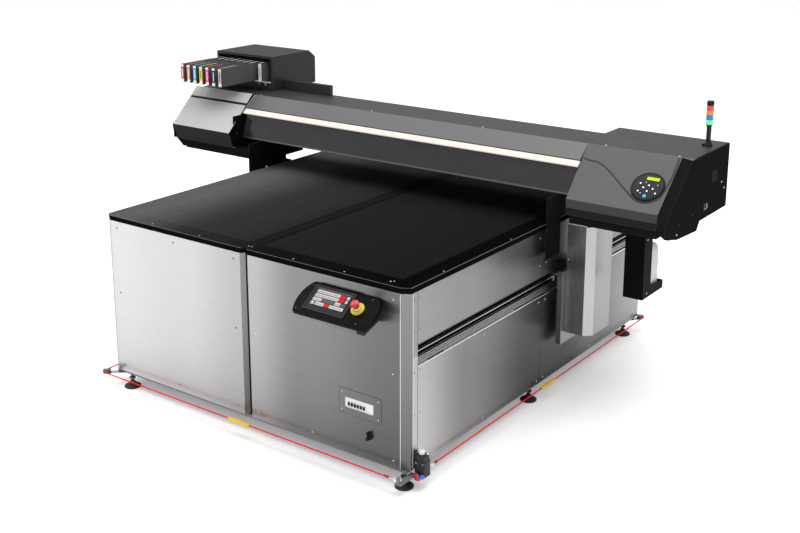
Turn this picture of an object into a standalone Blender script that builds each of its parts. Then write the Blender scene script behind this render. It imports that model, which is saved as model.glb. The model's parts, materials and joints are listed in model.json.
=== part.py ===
"""Flatbed UV printer with a travelling gantry, as an assembly of separate parts.

Metres, +Z up, front of the machine towards -Y.  Two cabinets carry a vacuum table.  A trolley
runs along slots in both cabinet sides, and carries a gantry that rises and sinks over the table.
Shapes are drawn about the middle of the table, and the empty "machine" then centres the whole.
"""
import math

import bmesh
import bpy
from mathutils import Matrix, Vector

# ---------------------------------------------------------------- driving dimensions
GAP = 0.0003                      # between pieces that touch
SHEET = 0.003                     # cabinet sheet metal
SHELL = 0.005                     # gantry cover thickness

BASE_X = 0.970                    # half width of the cabinets
BASE_Y = 1.175                    # half depth of the cabinets
BASE_LOW = 0.090                  # lower edge of the cabinet panels
BASE_HIGH = 0.9197                # upper edge of the cabinet panels
CORNER_X = 0.042                  # corner chamfer, across
CORNER_Y = 0.025                  # corner chamfer, along
SPLIT_X = 0.011                   # where the two cabinets meet
SPLIT_HALF = 0.025                # half width of the vee between them
TABLE_TOP = 0.945
TABLE_THICK = 0.025

SLOT = (0.574, 0.670)             # heights of the side slot
SLOT_Y = (-1.103, 1.100)
FRAME_X = 0.930
FRAME_Y = 1.130

FOOT_Y = (-1.150, -0.050, 1.060)
FOOT_X = {"left": -0.860, "right": 0.932}
FOOT_R = 0.045

ROPE_Z = 0.080
ROPE_R = 0.003
ROPE_FRONT = -1.240
ROPE_REAR = 1.210
REAR_TIP = ROPE_REAR + ROPE_R
ROPE_LEFT = -1.000
ROPE_RIGHT = 1.003
WRAP_R = 0.020                    # rope centre line round a guide pulley

PLATE_X = (1.000, 1.030)          # trolley side plate
LIFT_BOX_X = 1.175
LIFT_BOX_Y = (0.133, 0.354)
LIFT_BOX_Z = (0.343, 0.928)
LIFT_CHAMFER = 0.039

TOP_Z = 1.343                     # flat top of the gantry
GANTRY_LEFT = -1.690
GANTRY_RIGHT = 1.655
FOLD_Y = 0.205                    # front edge of the flat top
LIP_Y = 0.213                     # seam between the front covers and the top cover
MID_REAR = 0.476
END_REAR = 0.652
END_X = 1.045                     # inner edge of the deeper gantry ends
RIGHT_COVER_X = 1.087             # left edge of the right cover, at the flat top
RIGHT_LEAN = 0.10                 # how far that edge runs outwards per metre down
RIGHT_FACE_X = 1.590
LEFT_END_X = -1.650

PRINT_GAP_TOP = 1.105             # nothing over the table hangs lower than this

BEAM_Y = (0.300, 0.440)
BEAM_Z = (1.120, 1.300)
CARRIAGE_X = (1.200, 1.550)
BELT_X = (-1.580, 1.600)
BELT_Y = 0.220
BELT_Z = (1.262, 1.272)
PULLEY_R = 0.0197

RACK_X = (-1.645, -1.172)
RACK_Y = (0.355, 0.766)
RACK_Z = (1.3433, 1.557)
SLOTS = 8
SLOT_PITCH = 0.0535
CARTRIDGE = (0.028, 0.651, 0.112)  # thickness, length, height
CARTRIDGE_FRONT = 0.009
SHORT_CARTRIDGE_FRONT = 0.305

PANEL_TOP = (-1.1753, 0.882)      # operator panel, upper edge (y, z)
PANEL_LOW = (-1.322, 0.779)       # operator panel, lower edge (y, z)
PANEL_THICK = 0.020
PANEL_END = ((0.445, 0.815), (0.428, 0.838), (0.419, 0.855), (0.426, 0.850), (0.450, 0.818))
ESTOP = (0.754, 0.087)            # across the panel and down it

KNOB = (0.757, -BASE_Y, 0.206)
WINDOW_PLATE = ((0.588, 0.280), (0.823, 0.400))
TOWER = (1.593, 0.515)

SHIFT = Vector((-(GANTRY_LEFT + GANTRY_RIGHT) / 2, -(PANEL_LOW[0] + REAR_TIP) / 2, 0))

# ---------------------------------------------------------------- looks: colour, metal, rough
LOOKS = {
    "steel": ((0.55, 0.55, 0.56), 1.0, 0.32),
    "dark_steel": ((0.10, 0.10, 0.11), 0.8, 0.45),
    "black": ((0.015, 0.015, 0.017), 0.0, 0.55),
    "cover_grey": ((0.24, 0.24, 0.25), 0.0, 0.45),
    "smoke": ((0.05, 0.05, 0.055), 0.0, 0.08),
    "light": ((0.95, 0.90, 0.80), 0.0, 0.4),
    "red": ((0.65, 0.02, 0.03), 0.0, 0.4),
    "yellow": ((0.75, 0.50, 0.02), 0.0, 0.45),
    "white": ((0.75, 0.76, 0.75), 0.0, 0.4),
}
BAND_COLOURS = ((0.7, 0.03, 0.02), (0.75, 0.28, 0.03), (0.02, 0.35, 0.7), (0.8, 0.65, 0.02),
                (0.7, 0.03, 0.3), (0.02, 0.02, 0.02), (0.5, 0.48, 0.45), (0.8, 0.8, 0.8))


def clear_scene():
    for item in list(bpy.data.objects):
        bpy.data.objects.remove(item, do_unlink=True)


def material(name, look):
    colour, metal, rough = look
    made = bpy.data.materials.new(name)
    made.use_nodes = True
    shader = made.node_tree.nodes["Principled BSDF"]
    shader.inputs["Base Color"].default_value = (*colour, 1)
    shader.inputs["Metallic"].default_value = metal
    shader.inputs["Roughness"].default_value = rough
    return made


# ---------------------------------------------------------------- shape builders
def point(axis, along, pair):
    """A point whose coordinate on the axis is `along`; `pair` holds the other two in order."""
    first, second = pair
    if axis == "x":
        return (along, first, second)
    if axis == "y":
        return (first, along, second)
    return (first, second, along)


def loft(rings):
    """A closed solid through rings of equal length, capped at both ends."""
    bm = bmesh.new()
    loops = [[bm.verts.new(corner) for corner in ring] for ring in rings]
    for lower, upper in zip(loops, loops[1:]):
        for index in range(len(lower)):
            after = (index + 1) % len(lower)
            bm.faces.new((lower[index], lower[after], upper[after], upper[index]))
    bm.faces.new(loops[0])
    bm.faces.new(loops[-1])
    bmesh.ops.recalc_face_normals(bm, faces=bm.faces)
    return bm


def prism(axis, outline, low, high):
    """An outline in the two other axes, extruded from low to high along the axis."""
    return loft([[point(axis, along, pair) for pair in outline] for along in (low, high)])


def box(low, high):
    outline = ((low[0], low[1]), (high[0], low[1]), (high[0], high[1]), (low[0], high[1]))
    return prism("z", outline, low[2], high[2])


def turned(profile, centre, axis="z", sides=16):
    """A solid of revolution: profile is (radius, distance along the axis) from end to end."""
    rings = []
    for radius, along in profile:
        ring = []
        for step in range(sides):
            angle = 2 * math.pi * (step + 0.5) / sides
            pair = (radius * math.cos(angle), radius * math.sin(angle))
            ring.append(Vector(point(axis, along, pair)) + Vector(centre))
        rings.append(ring)
    return loft(rings)


def strip(path, thickness):
    """The outline of a bent sheet: a path and the same path set in by its thickness."""
    inner = []
    for index, here in enumerate(path):
        before = Vector(path[max(index - 1, 0)])
        after = Vector(path[min(index + 1, len(path) - 1)])
        sides = []
        if index > 0:
            sides.append((Vector(here) - before).normalized())
        if index < len(path) - 1:
            sides.append((after - Vector(here)).normalized())
        normals = [Vector((-side.y, side.x)) for side in sides]
        mean = sum(normals, Vector((0, 0))).normalized()
        inner.append(tuple(Vector(here) + mean * (thickness / mean.dot(normals[0]))))
    return list(path) + inner[::-1]


def middle_line(path, thickness):
    """The line halfway through a bent sheet, where a wall meets it."""
    return strip(path, thickness / 2)[len(path):][::-1]


def chamfered(x_low, x_high, y_low, y_high, cuts):
    """A rectangle whose corners are cut by (across, along), counter-clockwise from low/low."""
    outline = []
    corners = ((x_low, y_low, 1, 1), (x_high, y_low, -1, 1),
               (x_high, y_high, -1, -1), (x_low, y_high, 1, -1))
    for number, ((x, y, dx, dy), (across, along)) in enumerate(zip(corners, cuts)):
        pair = [(x, y + dy * along), (x + dx * across, y)]
        outline += pair if number % 2 == 0 else pair[::-1]
    return outline


# ---------------------------------------------------------------- placing
class Machine:
    """Keeps the centring empty and adds parts to it."""

    def __init__(self):
        self.root = bpy.data.objects.new("machine", None)
        self.root.location = SHIFT
        bpy.context.collection.objects.link(self.root)

    def _object(self, name, bm, pivot):
        mesh = bpy.data.meshes.new(name)
        bm.transform(Matrix.Translation(-Vector(pivot)))
        bm.to_mesh(mesh)
        bm.free()
        made = bpy.data.objects.new(name, mesh)
        made.location = pivot
        made.parent = self.root
        bpy.context.collection.objects.link(made)
        return made

    def part(self, name, bm, look, pivot=(0, 0, 0), add=(), cut=(), bevel=0.0, smooth=False):
        made = self._object(name, bm, pivot)
        made.data.materials.append(material(name, look))
        if smooth:
            made.data.shade_smooth()
            made.data.set_sharp_from_angle(angle=math.radians(40))
        for kind, tools in (("UNION", add), ("DIFFERENCE", cut)):
            for number, tool in enumerate(tools):
                helper = self._object(f"{name}_{kind.lower()}_{number}", tool, (0, 0, 0))
                helper.hide_render = True
                helper.display_type = "WIRE"
                modifier = made.modifiers.new(helper.name, "BOOLEAN")
                modifier.operation = kind
                modifier.object = helper
                modifier.solver = "EXACT"
        if bevel:
            edge = made.modifiers.new("edge", "BEVEL")
            edge.width = bevel
            edge.segments = 1
            edge.limit_method = "ANGLE"
            edge.angle_limit = math.radians(40)
        return made


# ---------------------------------------------------------------- cabinets and table
def add_base_frame(machine):
    posts = []
    for y in (-FRAME_Y, FRAME_Y - 0.05):
        for x in (-FRAME_X, SPLIT_X - 0.04, FRAME_X - 0.08):
            posts.append(box((x, y, 0.10), (x + 0.08, y + 0.05, 0.83)))
    ladders = []
    for (half_x, half_y), (low, high) in (((0.955, 1.165), (0.075, BASE_LOW - GAP)),
                                          ((FRAME_X, FRAME_Y), (0.080, 0.115)),
                                          ((FRAME_X, FRAME_Y), (0.80, 0.855))):
        for x in (-half_x, SPLIT_X - 0.04, half_x - 0.105):
            ladders.append(box((x, -half_y, low), (x + 0.105, half_y, high)))
        for y in (-half_y, -0.0775, half_y - 0.085):
            ladders.append(box((-half_x + 0.001, y + 0.0005, low + 0.0005),
                               (half_x - 0.001, y + 0.0845, high - 0.0005)))
    machine.part("base_frame", ladders[0], LOOKS["dark_steel"], add=ladders[1:] + posts)


def add_front(machine):
    panel_y = (-BASE_Y, -BASE_Y + SHEET)
    left = box((-BASE_X + CORNER_X + GAP, panel_y[0], BASE_LOW),
               (SPLIT_X - SPLIT_HALF - GAP, panel_y[1], BASE_HIGH))
    machine.part("front_panel_left", left, LOOKS["steel"])
    right = box((SPLIT_X + SPLIT_HALF + GAP, panel_y[0], BASE_LOW),
                (BASE_X - CORNER_X - GAP, panel_y[1], BASE_HIGH))
    (x_low, z_low), (x_high, z_high) = WINDOW_PLATE
    opening = box((x_low - GAP, -BASE_Y - 0.01, z_low - GAP),
                  (x_high + GAP, -BASE_Y + 0.01, z_high + GAP))
    shaft_hole = turned(((0.008, -0.01), (0.008, 0.01)), KNOB, "y")
    machine.part("front_panel_right", right, LOOKS["steel"], cut=(opening, shaft_hole))
    vee = ((SPLIT_X - SPLIT_HALF, -BASE_Y), (SPLIT_X - 0.005, -BASE_Y + 0.020),
           (SPLIT_X - 0.005, -BASE_Y + 0.032), (SPLIT_X + 0.005, -BASE_Y + 0.032),
           (SPLIT_X + 0.005, -BASE_Y + 0.020), (SPLIT_X + SPLIT_HALF, -BASE_Y),
           (SPLIT_X + SPLIT_HALF, -FRAME_Y - GAP), (SPLIT_X - SPLIT_HALF, -FRAME_Y - GAP))
    machine.part("centre_post", prism("z", vee, BASE_LOW, BASE_HIGH), LOOKS["steel"])
    for side, name in ((-1, "corner_post_left"), (1, "corner_post_right")):
        path = ((side * (BASE_X - CORNER_X), -BASE_Y), (side * BASE_X, -BASE_Y + CORNER_Y),
                (side * BASE_X, SLOT_Y[0] - 0.035 - GAP),
                (side * (BASE_X - 0.012), SLOT_Y[0] - 0.035 - GAP),
                (side * (BASE_X - 0.012), -BASE_Y + CORNER_Y + 0.006),
                (side * (BASE_X - CORNER_X), -BASE_Y + 0.008))
        machine.part(name, prism("z", path, BASE_LOW, BASE_HIGH), LOOKS["steel"])


def add_sides(machine):
    for side, name in ((-1, "side_panel_left"), (1, "side_panel_right")):
        inner, outer = sorted((side * (BASE_X - SHEET), side * BASE_X))
        sheet = box((inner, SLOT_Y[0] - 0.035, BASE_LOW), (outer, BASE_Y - GAP, BASE_HIGH))
        slot = box((inner - 0.01, SLOT_Y[0], SLOT[0]), (outer + 0.01, SLOT_Y[1], SLOT[1]))
        machine.part(name, sheet, LOOKS["steel"], cut=(slot,))
    back = box((-BASE_X + SHEET + GAP, BASE_Y - SHEET, BASE_LOW),
               (BASE_X - SHEET - GAP, BASE_Y, BASE_HIGH))
    vents = []
    for column in (-0.5, 0.5):
        for row in range(6):
            low = 0.20 + 0.035 * row
            vents.append(box((column - 0.14, BASE_Y - 0.01, low),
                             (column + 0.14, BASE_Y + 0.01, low + 0.012)))
    machine.part("rear_panel", back, LOOKS["steel"], cut=vents)


def add_table(machine):
    corner = (CORNER_X, CORNER_Y)
    vee = (0.018, 0.018)
    halves = (("table_left", -BASE_X, SPLIT_X - GAP, (corner, vee, vee, corner)),
              ("table_right", SPLIT_X + GAP, BASE_X, (vee, corner, corner, vee)))
    for name, x_low, x_high, cuts in halves:
        outline = chamfered(x_low, x_high, -BASE_Y, BASE_Y, cuts)
        plate = prism("z", outline, TABLE_TOP - TABLE_THICK, TABLE_TOP)
        machine.part(name, plate, LOOKS["black"])
    low, high = 0.8553, TABLE_TOP - TABLE_THICK - GAP
    tray = box((-0.90, -1.10, low), (0.90, 1.10, high))
    hollow = box((-0.896, -1.096, low + 0.004), (0.896, 1.096, high + 0.01))
    outlet = turned(((0.035, low - 0.01), (0.035, low + 0.01)), (0.30, 0.99, 0))
    machine.part("vacuum_chamber", tray, LOOKS["dark_steel"], cut=(hollow, outlet))


def add_drives(machine):
    drum = turned(((0.09, 0.1153), (0.15, 0.14), (0.15, 0.34), (0.07, 0.37)), (0.30, 0.82, 0))
    duct = turned(((0.045, 0.16), (0.045, 0.30), (0.033, 0.34), (0.033, 0.855)), (0.30, 0.99, 0))
    machine.part("vacuum_blower", drum, LOOKS["dark_steel"], add=(duct,), smooth=True)
    section = ((0.895, 0.587), (0.950, 0.587), (0.950, 0.611), (0.935, 0.611), (0.935, 0.624),
               (0.948, 0.624), (0.948, 0.642), (0.900, 0.642), (0.900, 0.624), (0.910, 0.624),
               (0.910, 0.611), (0.895, 0.611))
    reach = FRAME_Y - 0.05 - GAP
    for side, name in ((-1, "guide_rail_left"), (1, "guide_rail_right")):
        outline = [(side * x, z) for x, z in section]
        machine.part(name, prism("y", outline, -reach, reach), LOOKS["steel"])
    centre = (SPLIT_X, 0, 0.600)
    screw = turned(((0.0125, -reach), (0.0125, reach)), centre, "y", 12)
    machine.part("travel_screw", screw, LOOKS["steel"], pivot=centre, smooth=True)


def add_feet(machine):
    profile = ((FOOT_R, 0.0), (FOOT_R, 0.008), (0.030, 0.014), (0.009, 0.018), (0.009, 0.046),
               (0.017, 0.046), (0.017, 0.056), (0.009, 0.056), (0.009, 0.075 - GAP))
    for row, y in zip(("front", "middle", "rear"), FOOT_Y):
        for side, x in FOOT_X.items():
            machine.part(f"foot_{row}_{side}", turned(profile, (x, y, 0), sides=12),
                         LOOKS["black"], smooth=True)


# ---------------------------------------------------------------- operator's pieces
def panel_axes():
    """Origin, downhill direction and outward normal of the tilted operator panel."""
    top, low = Vector((0, *PANEL_TOP)), Vector((0, *PANEL_LOW))
    downhill = (low - top).normalized()
    normal = Vector((0, downhill.z, -downhill.y))
    return top, downhill, normal


def on_panel(x, down, lift):
    top, downhill, normal = panel_axes()
    return Vector((x, 0, 0)) + top + downhill * down + normal * lift


def panel_slab(x_low, x_high, down, lift):
    corners = ((x_low, down[0]), (x_high, down[0]), (x_high, down[1]), (x_low, down[1]))
    return loft([[on_panel(x, reach, height) for x, reach in corners] for height in lift])


def panel_round(x, down, profile, sides=20):
    rings = []
    for radius, lift in profile:
        ring = []
        for step in range(sides):
            angle = 2 * math.pi * step / sides
            ring.append(on_panel(x + radius * math.cos(angle),
                                 down + radius * math.sin(angle), lift))
        rings.append(ring)
    return loft(rings)


def add_operator_panel(machine):
    length = (Vector(PANEL_LOW) - Vector(PANEL_TOP)).length
    downs = [0.0145 + (length - 0.0145) * step / 4 for step in range(5)]
    outline = [(ends[0], down) for ends, down in zip(PANEL_END, downs)]
    outline += [(ends[1], down) for ends, down in zip(PANEL_END, downs)][::-1]
    slab = loft([[on_panel(x, down, lift) for x, down in outline]
                 for lift in (-PANEL_THICK, 0)])
    high, low = on_panel(0, 0.04, -0.001), on_panel(0, 0.12, 0.001 - PANEL_THICK)
    bracket = ((PANEL_TOP[0], 0.8810), (high.y, high.z), (low.y, low.z), (-1.250, 0.772),
               (PANEL_TOP[0], 0.762))
    machine.part("touch_panel_housing", slab, LOOKS["black"],
                 add=(prism("x", bracket, 0.470, 0.790),))
    machine.part("touch_screen", panel_slab(0.478, 0.710, (0.018, 0.153), (GAP, 0.004)),
                 LOOKS["smoke"])
    x, down = ESTOP
    collar = panel_round(x, down, ((0.0325, GAP), (0.0325, 0.010), (0.028, 0.013)))
    machine.part("estop_collar", collar, LOOKS["yellow"], smooth=True,
                 cut=(panel_round(x, down, ((0.0125, -0.002), (0.0125, 0.02))),))
    pivot = on_panel(x, down, 0.0)
    button = panel_round(x, down, ((0.0115, 0.0075), (0.0115, 0.020), (0.021, 0.020),
                                   (0.021, 0.030), (0.016, 0.036)))
    machine.part("estop_button", button, LOOKS["red"], pivot=pivot, smooth=True)


def add_front_fittings(machine):
    (x_low, z_low), (x_high, z_high) = WINDOW_PLATE
    plate = box((x_low, -BASE_Y - 0.001, z_low), (x_high, -BASE_Y + 0.004, z_high))
    pocket = box((0.616, -BASE_Y - 0.01, 0.309), (0.780, -BASE_Y + 0.002, 0.360))
    machine.part("service_window", plate, LOOKS["steel"], cut=(pocket,))
    body = turned(((0.0075, 0.012), (0.0075, -GAP), (0.020, -GAP), (0.020, -0.006),
                   (0.016, -0.008)), KNOB, "y")
    x, y, z = KNOB
    grip = box((x - 0.005, y - 0.026, z - 0.018), (x + 0.005, y - 0.006, z + 0.018))
    machine.part("main_switch_knob", body, LOOKS["black"], pivot=KNOB, add=(grip,))


# ---------------------------------------------------------------- safety rope
def rope_corners():
    """Guide pulley centres with the heading of each quarter turn's start, in degrees."""
    return (("rope_pulley_front_left", ROPE_LEFT + WRAP_R, ROPE_FRONT + WRAP_R, 270),
            ("rope_pulley_rear_left", ROPE_LEFT + WRAP_R, ROPE_REAR - WRAP_R, 180),
            ("rope_pulley_rear_right", ROPE_RIGHT - WRAP_R, ROPE_REAR - WRAP_R, 90))


def rope_route():
    route = [(0.9570, ROPE_FRONT)]
    for _name, x, y, start in rope_corners():
        for step in range(5):
            angle = math.radians(start - 90 * step / 4)
            route.append((x + WRAP_R * math.cos(angle), y + WRAP_R * math.sin(angle)))
    route.append((ROPE_RIGHT, -1.0847))
    return route


def add_rope(machine):
    curve = bpy.data.curves.new("pull_rope", "CURVE")
    curve.dimensions = "3D"
    curve.bevel_depth = ROPE_R
    curve.bevel_resolution = 2
    curve.use_fill_caps = True
    route = rope_route()
    spline = curve.splines.new("POLY")
    spline.points.add(len(route) - 1)
    for spot, (x, y) in zip(spline.points, route):
        spot.co = (x, y, ROPE_Z, 1)
    rope = bpy.data.objects.new("pull_rope", curve)
    rope.parent = machine.root
    curve.materials.append(material("pull_rope", LOOKS["red"]))
    bpy.context.collection.objects.link(rope)

    groove = ((0.0225, -0.008), (0.0225, -0.005), (0.0165, -0.003), (0.0165, 0.003),
              (0.0225, 0.005), (0.0225, 0.008))
    for name, x, y, _start in rope_corners():
        toward_x, toward_y = -math.copysign(1, x), -math.copysign(1, y)
        arm = box((min(x - toward_x * 0.012, x + toward_x * 0.10), min(y, y + toward_y * 0.10),
                   0.0695), (max(x - toward_x * 0.012, x + toward_x * 0.10),
                             max(y, y + toward_y * 0.10), 0.075 - GAP))
        disc = turned(groove, (x, y, ROPE_Z), sides=16)
        machine.part(name, disc, LOOKS["dark_steel"], add=(arm,))


def add_rope_switch(machine):
    body = box((0.9753, -1.135, 0.060), (1.030, -1.085, 0.165))
    foot = box((0.930, -1.130, 0.0605), (0.980, -1.090, 0.075 - GAP))
    arm = box((0.957, -1.250, 0.0610), (0.972, -1.120, 0.0700))
    clamp = box((0.9573, -1.250, 0.0650), (0.9717, -1.230, 0.0950))
    bore = turned(((0.009, 0.150), (0.009, 0.170)), (1.000, -1.110, 0))
    machine.part("rope_switch", body, LOOKS["dark_steel"], add=(foot, arm, clamp), cut=(bore,))
    pivot = (1.000, -1.110, 0.165)
    button = turned(((0.0085, 0.156), (0.0085, 0.170), (0.014, 0.170), (0.014, 0.180),
                     (0.010, 0.185)), (1.000, -1.110, 0), sides=12)
    machine.part("rope_reset_button", button, LOOKS["white"], pivot=pivot)


# ---------------------------------------------------------------- trolley
def add_trolley(machine):
    plates = []
    for side in (-1, 1):
        inner, outer = sorted((side * PLATE_X[0], side * PLATE_X[1]))
        plates.append(box((inner, 0.096, 0.282), (outer, 0.400, 0.680)))
        near, far = sorted((side * 0.897, side * (PLATE_X[0] + 0.002)))
        plates.append(box((near, 0.120, 0.6425), (far, 0.340, 0.6640)))
    tie = box((-0.905, 0.180, 0.6450), (0.905, 0.280, 0.7000))
    nut = box((SPLIT_X - 0.035, 0.190, 0.570), (SPLIT_X + 0.035, 0.270, 0.650))
    bore = turned(((0.0135, 0.15), (0.0135, 0.31)), (SPLIT_X, 0, 0.600), "y", 12)
    machine.part("trolley_frame", tie, LOOKS["steel"], pivot=(0, 0, 0.62),
                 add=plates + [nut], cut=(bore,))
    y_low, y_high = LIFT_BOX_Y
    for side, name in ((-1, "lift_cover_left"), (1, "lift_cover_right")):
        x_in = PLATE_X[1] + GAP
        outer = [(x_in, y_low), (LIFT_BOX_X - LIFT_CHAMFER, y_low),
                 (LIFT_BOX_X, y_low + LIFT_CHAMFER), (LIFT_BOX_X, y_high), (x_in, y_high)]
        hollow = [(x_in - 0.01, y_low + SHEET), (LIFT_BOX_X - LIFT_CHAMFER, y_low + SHEET),
                  (LIFT_BOX_X - SHEET, y_low + LIFT_CHAMFER), (LIFT_BOX_X - SHEET, y_high - SHEET),
                  (x_in - 0.01, y_high - SHEET)]
        shell = prism("z", [(side * x, y) for x, y in outer], *LIFT_BOX_Z)
        inside = prism("z", [(side * x, y) for x, y in hollow], LIFT_BOX_Z[0] + SHEET, 1.0)
        machine.part(name, shell, LOOKS["steel"], cut=(inside,))


# ---------------------------------------------------------------- gantry
def add_beam(machine):
    beam = box((-1.600, BEAM_Y[0], BEAM_Z[0]), (1.550, BEAM_Y[1], BEAM_Z[1]))
    extra = []
    for side in (-1, 1):
        inner, outer = sorted((side * 1.060, side * 1.140))
        extra.append(box((inner, 0.305, 0.500), (outer, 0.340, 1.140)))
        near, far = sorted((side * 1.004, side * 1.150))
        extra.append(box((near, 0.330, 0.980), (far, 0.435, 1.130)))
        guard = ((-0.050, 0.780), (0.090, 0.780), (0.090, 0.975), (0.435, 0.975),
                 (0.435, 1.100), (-0.050, 1.100))
        thin, thick = sorted((side * 1.003, side * 1.010))
        extra.append(prism("x", guard, thin, thick))
    chin = ((-1.614, 1.052), (-1.565, 1.003), (-1.004, 1.003), (-1.004, 1.052))
    extra.append(prism("y", chin, -0.020, 0.150))
    boss = turned(((0.0197, 1.250), (0.0197, 1.276)), (BELT_X[0], BELT_Y, 0), sides=20)
    arm = box((BELT_X[0] - 0.01, BELT_Y - 0.01, 1.240), (BELT_X[0] + 0.01, 0.310, 1.255))
    wall = 0.006
    tunnel = box((-1.7, BEAM_Y[0] + wall, BEAM_Z[0] + wall),
                 (1.7, BEAM_Y[1] - wall, BEAM_Z[1] - wall))
    machine.part("gantry_chassis", beam, LOOKS["dark_steel"], pivot=(0, 0.3, 1.2),
                 add=extra + [arm, boss], cut=(tunnel,))


def leaning(x_top, lean, outline):
    """A ring whose x runs outwards by `lean` per metre below the flat top."""
    return [(x_top + lean * (TOP_Z - z), y, z) for y, z in outline]


def between_covers(x_low, clearance, outline):
    """A bar along the gantry whose right end follows the right cover's slanting edge."""
    return loft([leaning(x_low, 0, outline),
                 leaning(RIGHT_COVER_X - clearance, RIGHT_LEAN, outline)])


def add_covers(machine):
    outline = ((LEFT_END_X + SHELL, LIP_Y + GAP), (GANTRY_RIGHT - SHELL - GAP, LIP_Y + GAP),
               (GANTRY_RIGHT - SHELL - GAP, END_REAR), (END_X, END_REAR), (END_X, MID_REAR),
               (-END_X, MID_REAR), (-END_X, END_REAR), (LEFT_END_X + SHELL, END_REAR))
    shell = prism("z", outline, 1.0135, TOP_Z)
    hollow = ((-2, 0.1), (2, 0.1), (2, END_REAR - SHELL), (END_X + SHELL, END_REAR - SHELL),
              (END_X + SHELL, MID_REAR - SHELL), (-END_X - SHELL, MID_REAR - SHELL),
              (-END_X - SHELL, END_REAR - SHELL), (-2, END_REAR - SHELL))
    print_gap = box((-1.000, 0.300, 0.900), (1.000, 0.600, PRINT_GAP_TOP))
    machine.part("gantry_top_cover", shell, LOOKS["cover_grey"],
                 cut=(prism("z", hollow, 0.9, TOP_Z - SHELL), print_gap))

    right = ((LIP_Y, TOP_Z), (FOLD_Y, TOP_Z), (-0.050, 1.117), (-0.062, 1.041), (0.030, 1.013))
    flare = ((LIP_Y, TOP_Z), (0.1748, TOP_Z), (-0.1006, 1.0989), (-0.1126, 1.0229),
             (-0.0470, 1.0030))
    rings = []
    for x_top, lean, path in ((RIGHT_COVER_X, RIGHT_LEAN, right), (RIGHT_FACE_X, 0, right),
                              (GANTRY_RIGHT, 0, flare)):
        rings.append(leaning(x_top, lean, strip(path, SHELL)))
    end = middle_line(flare, SHELL) + [(0.041, 0.985), (0.277, 0.970), (0.309, 1.013),
                                       (END_REAR, 1.013), (END_REAR, TOP_Z - SHELL / 2)]
    machine.part("gantry_right_cover", loft(rings), LOOKS["cover_grey"],
                 add=(prism("x", end, GANTRY_RIGHT - SHELL, GANTRY_RIGHT - 0.0005),))

    left = ((LIP_Y, TOP_Z), (FOLD_Y, TOP_Z), (-0.056, 1.148), (-0.046, 1.092), (-0.048, 1.060),
            (-0.022, 1.053))
    bent = strip(left, SHELL)
    rings = [leaning(GANTRY_LEFT, 0.25, bent), leaning(-1.205, 0.215, bent)]
    edge = middle_line(left, SHELL)
    end = edge + [(0.033, 0.990), (0.277, 0.970), (0.309, 1.013), (END_REAR, 1.013),
                  (END_REAR, TOP_Z - SHELL / 2)]
    inner = edge[1:] + [(0.020, 1.060), (0.098, 1.253)]
    machine.part("gantry_left_cover", loft(rings), LOOKS["cover_grey"],
                 add=(prism("x", end, LEFT_END_X, LEFT_END_X + SHELL - GAP),
                      prism("x", inner, -1.186, -1.181)))

    fascia = strip(((LIP_Y, TOP_Z), (FOLD_Y, TOP_Z), (0.1145, 1.277), (0.118, 1.270)), SHELL)
    machine.part("fascia", between_covers(-1.1800, GAP, fascia), LOOKS["cover_grey"])
    bar = ((0.1125, 1.2730), (0.0820, 1.2525), (0.0870, 1.2450), (0.1175, 1.2655))
    machine.part("light_bar", between_covers(-1.1700, GAP, bar), LOOKS["light"])
    pivot = (0, 0.1000, 1.2440)
    pane = ((0.0975, 1.2440), (0.0525, 1.1100), (0.0573, 1.1086), (0.1023, 1.2426))
    machine.part("front_window", between_covers(-1.1500, 0.008, pane), LOOKS["smoke"],
                 pivot=pivot)


def add_carriage(machine):
    body = ((0.125, 1.135), (0.145, 1.115), (BEAM_Y[0] - 0.0105, 1.115),
            (BEAM_Y[0] - 0.0105, 1.255), (0.145, 1.255), (0.125, 1.240))
    machine.part("print_carriage", prism("x", body, *CARRIAGE_X), LOOKS["black"],
                 pivot=(CARRIAGE_X[0], 0.2, 1.2))
    centre = (BELT_X[1], BELT_Y, 0)
    pulley = turned(((0.008, 1.200), (0.008, 1.255), (PULLEY_R, 1.255), (PULLEY_R, 1.278)),
                    centre, sides=20)
    machine.part("carriage_pulley", pulley, LOOKS["steel"], pivot=centre, smooth=True)

    def loop(radius):
        outline = []
        for x, start in ((BELT_X[1], -90), (BELT_X[0], 90)):
            for step in range(9):
                angle = math.radians(start + 180 * step / 8)
                outline.append((x + radius * math.cos(angle), BELT_Y + radius * math.sin(angle)))
        return outline

    machine.part("carriage_belt", prism("z", loop(0.0225), *BELT_Z), LOOKS["black"],
                 cut=(prism("z", loop(0.0202), BELT_Z[0] - 0.01, BELT_Z[1] + 0.01),))


# ---------------------------------------------------------------- ink, lamp, waste, controls
def cartridge_x(number):
    return RACK_X[0] + 0.040 + SLOT_PITCH * number


def add_ink(machine):
    (x_low, x_high), (y_low, y_high), (z_low, z_high) = RACK_X, RACK_Y, RACK_Z
    outline = ((y_low, z_low), (y_high, z_low), (y_high, z_high - 0.045),
               (y_high - 0.060, z_high), (y_low, z_high))
    inside = box((x_low + 0.016, y_low - 0.01, 1.405), (x_high - 0.016, y_high - 0.06, 1.540))
    duct = box((x_high - 0.005, 0.440, z_low), (-0.782, 0.470, 1.405))
    machine.part("ink_rack", prism("x", outline, x_low, x_high), LOOKS["black"],
                 pivot=(x_low, y_low, z_low), add=(duct,), cut=(inside,))
    thick, length, height = CARTRIDGE
    for number in range(SLOTS):
        front = CARTRIDGE_FRONT if number < SLOTS - 1 else SHORT_CARTRIDGE_FRONT
        x = cartridge_x(number)
        body = box((x - thick / 2, front, 1.4053),
                   (x + thick / 2, CARTRIDGE_FRONT + length, 1.4053 + height))
        machine.part(f"ink_cartridge_{number + 1}", body, (BAND_COLOURS[number], 0, 0.4),
                     pivot=(x, front, 1.46), bevel=0.002)


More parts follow.
